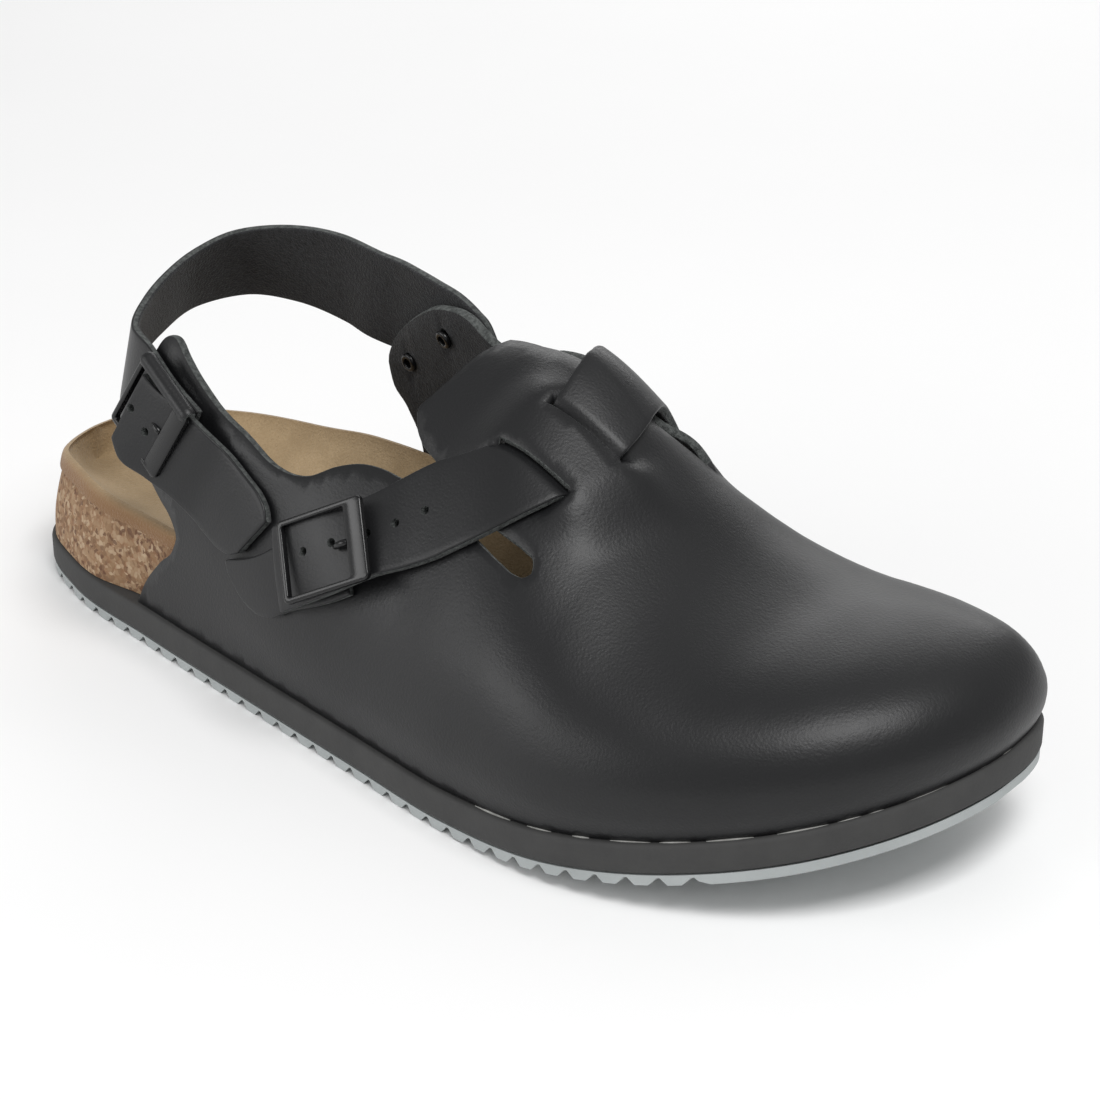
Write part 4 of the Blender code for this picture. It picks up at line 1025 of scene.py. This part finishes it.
def buckle(name, corners):
    """A frame with its window and the prong that lies in it."""
    middle, along, across, out, w, h = frame_axes(corners)
    loops = [(rounded(-w + i, w - i, -h + i, h - i, FRAME_CORNER - i), z) for i, z in FRAME_OUTSIDE]
    for growth, z in FRAME_WINDOW:
        side = FRAME_BAR - growth
        window = rounded(-w + side, w - FRAME_PLATE + growth, -h + side, h - side, WINDOW_CORNER + growth)
        loops.append((window, z))
    points = np.vstack([
        middle + along * loop[:, :1] + across * loop[:, 1:] + out * (z * FRAME_THICK) for loop, z in loops
    ])
    faces = loop_faces(len(loops), len(loops[0][0]), closed=True)
    piece(
        name + "_metal", points, faces, ["black_metal"],
        replaces=[name + "_frame"], sharp=60,
    )
    start = w - FRAME_PLATE - 0.2
    path = [middle + along * (start + reach) + out * height for reach, height, _ in PRONG]
    points, faces = tube(path, [radius for _, _, radius in PRONG])
    piece(name + "_pin", points, faces, ["black_metal"], replaces=[name + "_prong"])


buckle("instep_buckle", INSTEP_FRAME)
buckle("heel_buckle", HEEL_FRAME)

# %% The strap's end rolled over the heel buckle's upper bar
ROLL, ROLL_WALL, ROLL_EDGE = 2.1, 1.5, 0.35
# the angles that the roll runs through, then its place in from the frame's upper edge and out from its foot
ROLL_FROM, ROLL_TO = -70, 205
ROLL_IN, ROLL_OUT = 0.5, 0.4
middle, along, across, out, w, h = frame_axes(HEEL_FRAME)
turn = np.radians(np.linspace(ROLL_FROM, ROLL_TO, 26))
reach = np.linspace(-w + 0.2, w - 0.2, 30)
ring = np.cos(turn)[:, None] * across + np.sin(turn)[:, None] * out
centre = middle + across * (h - ROLL_IN) + out * ROLL_OUT
under = centre + along * reach[:, None, None] + ring[None] * (ROLL - ROLL_WALL)
outward = np.broadcast_to(ring[None], under.shape)
points, faces, kinds = rounded_slab(under, outward, ROLL_WALL, ROLL_EDGE)
piece("heel_strap_roll", points, faces, LEATHER_FINISHES, kinds)


# %% The hollow rivets
# radius, height off the tab's outer face
RIVET = [
    (1.2, -3.0), (1.3, -3.25), (1.6, -3.42), (2.0, -3.35), (2.35, -3.15),
    (2.5, -2.85), (2.45, -2.4), (1.6, -2.4), (1.6, -0.25), (1.2, -0.25),
]
RIVET_SIDES = 32


def rivet(name, hole):
    """A rivet with an open bore, turned round the middle of its hole."""
    seat, out, side, rise = seat_at(hole[0] * LENGTH, hole[1])
    turn = np.linspace(0, 2 * math.pi, RIVET_SIDES, endpoint=False)
    points = [seat + out * z + r * (side * math.cos(t) + rise * math.sin(t)) for r, z in RIVET for t in turn]
    faces = loop_faces(len(RIVET), RIVET_SIDES, closed=True)
    piece(name + "_metal", points, faces, ["black_metal"], replaces=[name], sharp=60)


rivet("rivet_low", RIVET_HOLES[0])
rivet("rivet_high", RIVET_HOLES[1])

# %% [markdown]
# ## The glue line and its painted highlight
#
# Where the leather meets the foam round the toe, a thin pale line shows here and there: dried glue, painted
# pale for the highlight that runs along the foam's top ledge. It is a row of short, thin tubes along the
# leather's foot.
# Their lengths come from a seeded draw, so every run gives the same line.

# %% Beads of dried glue, painted pale as a highlight
# places along the foot edge, from the outer side round the toe
GLUE_HIGHLIGHT_FROM, GLUE_HIGHLIGHT_TO = 140.0, 330.0
# shortest and longest: a bead, the gap after it and its radius
BEAD, BEAD_GAP, BEAD_RADIUS = (4, 15), (0.5, 6.0), (0.16, 0.34)
GLUE_HIGHLIGHT_LIFT = 0.12
draw = np.random.default_rng(7)
points, faces = [], []
run = GLUE_HIGHLIGHT_FROM
while run < GLUE_HIGHLIGHT_TO:
    bead = draw.uniform(*BEAD)
    at = np.linspace(run, run + bead, max(3, int(bead)))
    edge = np.stack([np.interp(at, EDGE_RUN, EDGE[:, k]) for k in (0, 1)], -1)
    path = np.c_[edge, base(edge[:, 0]) + GLUE_HIGHLIGHT_LIFT]
    radii = draw.uniform(*BEAD_RADIUS) * np.sin(np.linspace(0.25, math.pi - 0.25, len(at)))
    made = tube(path, radii, 8)
    faces += [tuple(k + len(points) for k in face) for face in made[1]]
    points += made[0].tolist()
    run += bead + draw.uniform(*BEAD_GAP)
# dried glue, its pale colour a painted highlight along the foam's top ledge
piece("glue_highlight_line", points, faces, ["glue_highlight"])

# %% [markdown]
# ## The finishes
#
# Every material is procedural. What several of them share is a node group: a fine grain made of small cells
# and noise, and a soft mottle that varies colour and gloss. The groups are built once, and each material
# gives them its own scale.

# %% Helpers for node trees
def new_node(tree, kind, **settings):
    """A shader node with its settings and the values of its sockets."""
    made = tree.nodes.new("ShaderNode" + kind)
    for key, value in settings.items():
        if hasattr(made, key):
            setattr(made, key, value)
        else:
            made.inputs[key.replace("_", " ")].default_value = value
    return made


def new_group(name, inputs, outputs):
    """A node group with float inputs and outputs; gives the tree and its two end nodes."""
    tree = bpy.data.node_groups.new(name, "ShaderNodeTree")
    for title, value in inputs:
        tree.interface.new_socket(title, in_out="INPUT", socket_type="NodeSocketFloat").default_value = value
    for title in outputs:
        tree.interface.new_socket(title, in_out="OUTPUT", socket_type="NodeSocketFloat")
    return tree, tree.nodes.new("NodeGroupInput"), tree.nodes.new("NodeGroupOutput")


def placed(tree, group, **values):
    """A shared group placed in a material, with the values of its inputs."""
    made = tree.nodes.new("ShaderNodeGroup")
    made.node_tree = group
    for key, value in values.items():
        made.inputs[key].default_value = value
    return made


def blend(tree, factor, first, second):
    """A colour mix; first and second are colours or sockets."""
    mix = tree.nodes.new("ShaderNodeMix")
    mix.data_type = "RGBA"
    if hasattr(factor, "is_output"):
        tree.links.new(factor, mix.inputs[0])
    else:
        mix.inputs[0].default_value = factor
    for socket, value in ((mix.inputs[6], first), (mix.inputs[7], second)):
        if hasattr(value, "is_output"):
            tree.links.new(value, socket)
        else:
            socket.default_value = (*value, 1.0)
    return mix.outputs[2]


def spread(tree, value, low, high, start=0.0, end=1.0):
    """Maps a value from start..end to low..high."""
    made = tree.nodes.new("ShaderNodeMapRange")
    tree.links.new(value, made.inputs["Value"])
    for key, number in (("From Min", start), ("From Max", end), ("To Min", low), ("To Max", high)):
        made.inputs[key].default_value = number
    return made.outputs[0]


# %% The shared groups: grain and mottle
grain, grain_in, grain_out = new_group("fine_grain", [("Scale", 1200.0), ("Depth", 0.5)], ["Height"])
place = new_node(grain, "TexCoord")
pores = new_node(grain, "TexVoronoi", feature="SMOOTH_F1")
wrinkle = new_node(grain, "TexNoise", Detail=4.0, Roughness=0.6)
weight = new_node(grain, "Math", operation="MULTIPLY")
total = new_node(grain, "Math", operation="ADD")
for texture in (pores, wrinkle):
    grain.links.new(place.outputs["Object"], texture.inputs["Vector"])
    grain.links.new(grain_in.outputs["Scale"], texture.inputs["Scale"])
grain.links.new(pores.outputs["Distance"], weight.inputs[0])
grain.links.new(grain_in.outputs["Depth"], weight.inputs[1])
grain.links.new(weight.outputs[0], total.inputs[0])
grain.links.new(wrinkle.outputs["Fac"], total.inputs[1])
grain.links.new(total.outputs[0], grain_out.inputs["Height"])

mottle, mottle_in, mottle_out = new_group("soft_mottle", [("Scale", 40.0), ("Contrast", 2.0)], ["Mask"])
place = new_node(mottle, "TexCoord")
cloud = new_node(mottle, "TexNoise", Detail=5.0, Roughness=0.55)
centred = new_node(mottle, "Math", operation="SUBTRACT")
centred.inputs[1].default_value = 0.5
scaled = new_node(mottle, "Math", operation="MULTIPLY")
back = new_node(mottle, "Math", operation="ADD", use_clamp=True)
back.inputs[1].default_value = 0.5
mottle.links.new(place.outputs["Object"], cloud.inputs["Vector"])
mottle.links.new(mottle_in.outputs["Scale"], cloud.inputs["Scale"])
mottle.links.new(cloud.outputs["Fac"], centred.inputs[0])
mottle.links.new(centred.outputs[0], scaled.inputs[0])
mottle.links.new(mottle_in.outputs["Contrast"], scaled.inputs[1])
mottle.links.new(scaled.outputs[0], back.inputs[0])
mottle.links.new(back.outputs[0], mottle_out.inputs["Mask"])
print("two groups are ready:", grain.name, "and", mottle.name)


# %% How a finish is painted
def painted(
    name, dark, light, rough, bump, distance, grain_scale, mottle_scale, contrast=2.0, depth=0.5, **constants
):
    """A finish whose colour and gloss vary softly, with a fine grain as bump; gives its tree and shader."""
    material = FINISHES[name]
    material.use_nodes = True
    tree = material.node_tree
    shader = tree.nodes["Principled BSDF"]
    soft = placed(tree, mottle, Scale=mottle_scale, Contrast=contrast)
    fine = placed(tree, grain, Scale=grain_scale, Depth=depth)
    tree.links.new(blend(tree, soft.outputs["Mask"], dark, light), shader.inputs["Base Color"])
    tree.links.new(spread(tree, soft.outputs["Mask"], rough[0], rough[1]), shader.inputs["Roughness"])
    relief_node = new_node(tree, "Bump", Strength=bump, Distance=distance)
    tree.links.new(fine.outputs["Height"], relief_node.inputs["Height"])
    tree.links.new(relief_node.outputs[0], shader.inputs["Normal"])
    for key, value in constants.items():
        shader.inputs[key.replace("_", " ")].default_value = value
    return tree, shader


# %% Leather: its smooth face, its cut edge and its rough back
# dark and light colour, roughness at both, bump and its distance, grain scale, mottle scale
painted(
    "black_leather", (0.0065, 0.0067, 0.0075), (0.0095, 0.0097, 0.0105), (0.46, 0.39), 0.30, 0.0002, 1500, 35,
    Specular_IOR_Level=0.38,
)
painted("cut_edge", (0.040, 0.044, 0.043), (0.110, 0.118, 0.114), (0.85, 0.95), 1.0, 0.0006, 2200, 900, 4.0)
painted(
    "leather_back", (0.006, 0.006, 0.007), (0.024, 0.025, 0.027), (0.9, 1.0), 0.9, 0.0005, 1800, 900, 3.0,
    Sheen_Weight=0.12, Sheen_Roughness=0.5,
)
print("leather has three finishes")

# %% Sole: foam, rubber, and dried glue painted pale as a highlight
painted("sole_foam", (0.034, 0.034, 0.034), (0.050, 0.050, 0.049), (0.78, 0.86), 0.35, 0.0003, 900, 120)
painted("tread_rubber", (0.33, 0.355, 0.355), (0.42, 0.445, 0.445), (0.62, 0.72), 0.25, 0.0002, 1200, 60)
# dried glue, painted pale: a painted highlight along the foam's top ledge
painted("glue_highlight", (0.20, 0.20, 0.19), (0.45, 0.45, 0.43), (0.5, 0.6), 0.3, 0.0002, 1500, 300)
painted(
    "black_metal", (0.004, 0.004, 0.0045), (0.006, 0.006, 0.0065), (0.26, 0.20), 0.08, 0.0001, 2500, 150,
    Specular_IOR_Level=0.4,
)
print("the sole and the buckles are painted")

# %% [markdown]
# ## Cork and suede
#
# Cork is pressed from granules of one to four millimetres, each a little different in colour, with dark bark
# between them. Cells give the granules and a second, sparse set of small cells the bark. Suede is a fine nap,
# darker and browner where it turns over the rim; the mesh says where that is.

# %% Cork
CORK_TONES = [
    (0.0, (0.19, 0.105, 0.055)), (0.35, (0.27, 0.165, 0.088)),
    (0.7, (0.34, 0.225, 0.13)), (1.0, (0.45, 0.33, 0.215)),
]
SEAM_TONE, BARK_TONE = (0.24, 0.11, 0.05), (0.115, 0.05, 0.025)
# scales of both sets of cells, and how far in metres the cells' edges wander
GRANULES, BARK, WANDER = 760.0, 900.0, 0.0022
tree, shader = painted("cork", (0.5, 0.3, 0.17), (0.5, 0.3, 0.17), (0.82, 0.92), 0.55, 0.0008, 700, 250)
place = new_node(tree, "TexCoord")
wander = new_node(tree, "TexNoise", Scale=420.0, Detail=3.0)
bent = new_node(tree, "VectorMath", operation="MULTIPLY_ADD")
bent.inputs[1].default_value = (WANDER, WANDER, WANDER)
tree.links.new(place.outputs["Object"], wander.inputs["Vector"])
tree.links.new(wander.outputs["Color"], bent.inputs[0])
tree.links.new(place.outputs["Object"], bent.inputs[2])
granule = new_node(tree, "TexVoronoi", Scale=GRANULES)
bark = new_node(tree, "TexVoronoi", Scale=BARK)
for texture in (granule, bark):
    tree.links.new(bent.outputs[0], texture.inputs["Vector"])
tone = new_node(tree, "ValToRGB")
ramp = tone.color_ramp
while len(ramp.elements) < len(CORK_TONES):
    ramp.elements.new(0.5)
for element, (where, colour) in zip(ramp.elements, CORK_TONES):
    element.position = where
    element.color = (*colour, 1.0)
pick = new_node(tree, "SeparateColor")
tree.links.new(granule.outputs["Color"], pick.inputs[0])
tree.links.new(pick.outputs[0], tone.inputs[0])
sparse = new_node(tree, "SeparateColor")
tree.links.new(bark.outputs["Color"], sparse.inputs[0])
is_bark = spread(tree, sparse.outputs[1], 0.0, 0.8, 0.84, 0.92)
seam = spread(tree, granule.outputs["Distance"], 0.0, 0.55, 0.45, 0.85)
body_colour = blend(tree, seam, tone.outputs[0], SEAM_TONE)
tree.links.new(blend(tree, is_bark, body_colour, BARK_TONE), shader.inputs["Base Color"])
print("cork has", len(CORK_TONES), "tones")

# %% Suede
SPECK_TONE, TURNED_EDGE_TONE = (0.28, 0.19, 0.095), (0.23, 0.125, 0.055)
tree, shader = painted(
    "suede", (0.33, 0.235, 0.130), (0.43, 0.315, 0.185), (0.92, 1.0), 0.6, 0.0005, 1600, 90, 3.0,
    Sheen_Weight=0.25, Sheen_Roughness=0.4,
)
plain = shader.inputs["Base Color"].links[0].from_socket
rim = new_node(tree, "Attribute", attribute_name="rim")
speck = placed(tree, mottle, Scale=1400.0, Contrast=3.0)
napped = blend(tree, spread(tree, speck.outputs["Mask"], 0.0, 0.35), plain, SPECK_TONE)
# darker and browner towards the rim and down the turned edge, as the rim mark says
toward_rim = spread(tree, rim.outputs["Fac"], 0.0, 1.0, 0.05, 1.0)
tree.links.new(blend(tree, toward_rim, napped, TURNED_EDGE_TONE), shader.inputs["Base Color"])
print("suede is painted")

# %% [markdown]
# ## Floor, light and camera
#
# The floor is plain and pale. A large soft light above and before the toe gives the broad sheen on the vamp,
# a long light on the outer side the band round the toe wall, and one on the inner side a thin rim. The camera
# stands in front on the outer side and looks down on the clog with a long lens.

# %% The floor
FLOOR_HALF = 4.0
WORLD_LIGHT = 0.42
corners = [(FLOOR_HALF * x, FLOOR_HALF * y, 0) for x, y in ((-1, -1), (1, -1), (1, 1), (-1, 1))]
mesh = bpy.data.meshes.new("paper_floor")
mesh.from_pydata(corners, [], [(0, 1, 2, 3)])
mesh.materials.append(FINISHES["paper_floor"])
floor = new_object("paper_floor", mesh)
painted("paper_floor", (0.88, 0.88, 0.88), (0.90, 0.90, 0.90), (0.9, 0.95), 0.02, 0.0001, 300, 5)

world = bpy.data.worlds.new("studio")
bpy.context.scene.world = world
bpy.context.scene.view_settings.view_transform = "Standard"
world.use_nodes = True
background = world.node_tree.nodes["Background"]
background.inputs["Color"].default_value = (1, 1, 1, 1)
background.inputs["Strength"].default_value = WORLD_LIGHT
print("the floor is", 2 * FLOOR_HALF, "m wide")


# %% Soft lights
def look_at(body, at, aim):
    """Puts a light or a camera at a point and turns it to another one."""
    body.location = at
    body.rotation_euler = (Vector(aim) - Vector(at)).to_track_quat("-Z", "Y").to_euler()


def soft_light(name, at, aim, size, power):
    """A rectangular light of a size in metres that looks at a point, with its power in watts."""
    lamp = bpy.data.lights.new(name, "AREA")
    lamp.shape = "RECTANGLE"
    lamp.size, lamp.size_y = size
    lamp.energy = power
    look_at(new_object(name, lamp), at, aim)


soft_light("above_toe", (0.55, -0.2, 1.2), (0.05, 0.0, 0.04), (0.7, 0.5), 12.0)
soft_light("outer_side", (-0.7, -1.0, 0.45), (0.0, 0.0, 0.03), (1.0, 0.5), 5.5)
soft_light("inner_side", (-0.5, 1.0, 0.5), (0.06, 0.0, 0.05), (1.0, 0.4), 3.5)

# %% The camera
CAMERA_AT = (0.399477, -0.462924, 0.35573)
CAMERA_AIM = (0.007657, 0.020416, 0.035)
view = bpy.data.cameras.new("camera")
view.lens = 95.0
view.sensor_width = 36.0
view.clip_start = 0.01
camera = new_object("camera", view)
look_at(camera, CAMERA_AT, CAMERA_AIM)
bpy.context.scene.camera = camera
print("the camera has a lens of", view.lens, "mm")

# %% [markdown]
# ## Bringing the scene up to date
#

bpy.context.view_layer.update()
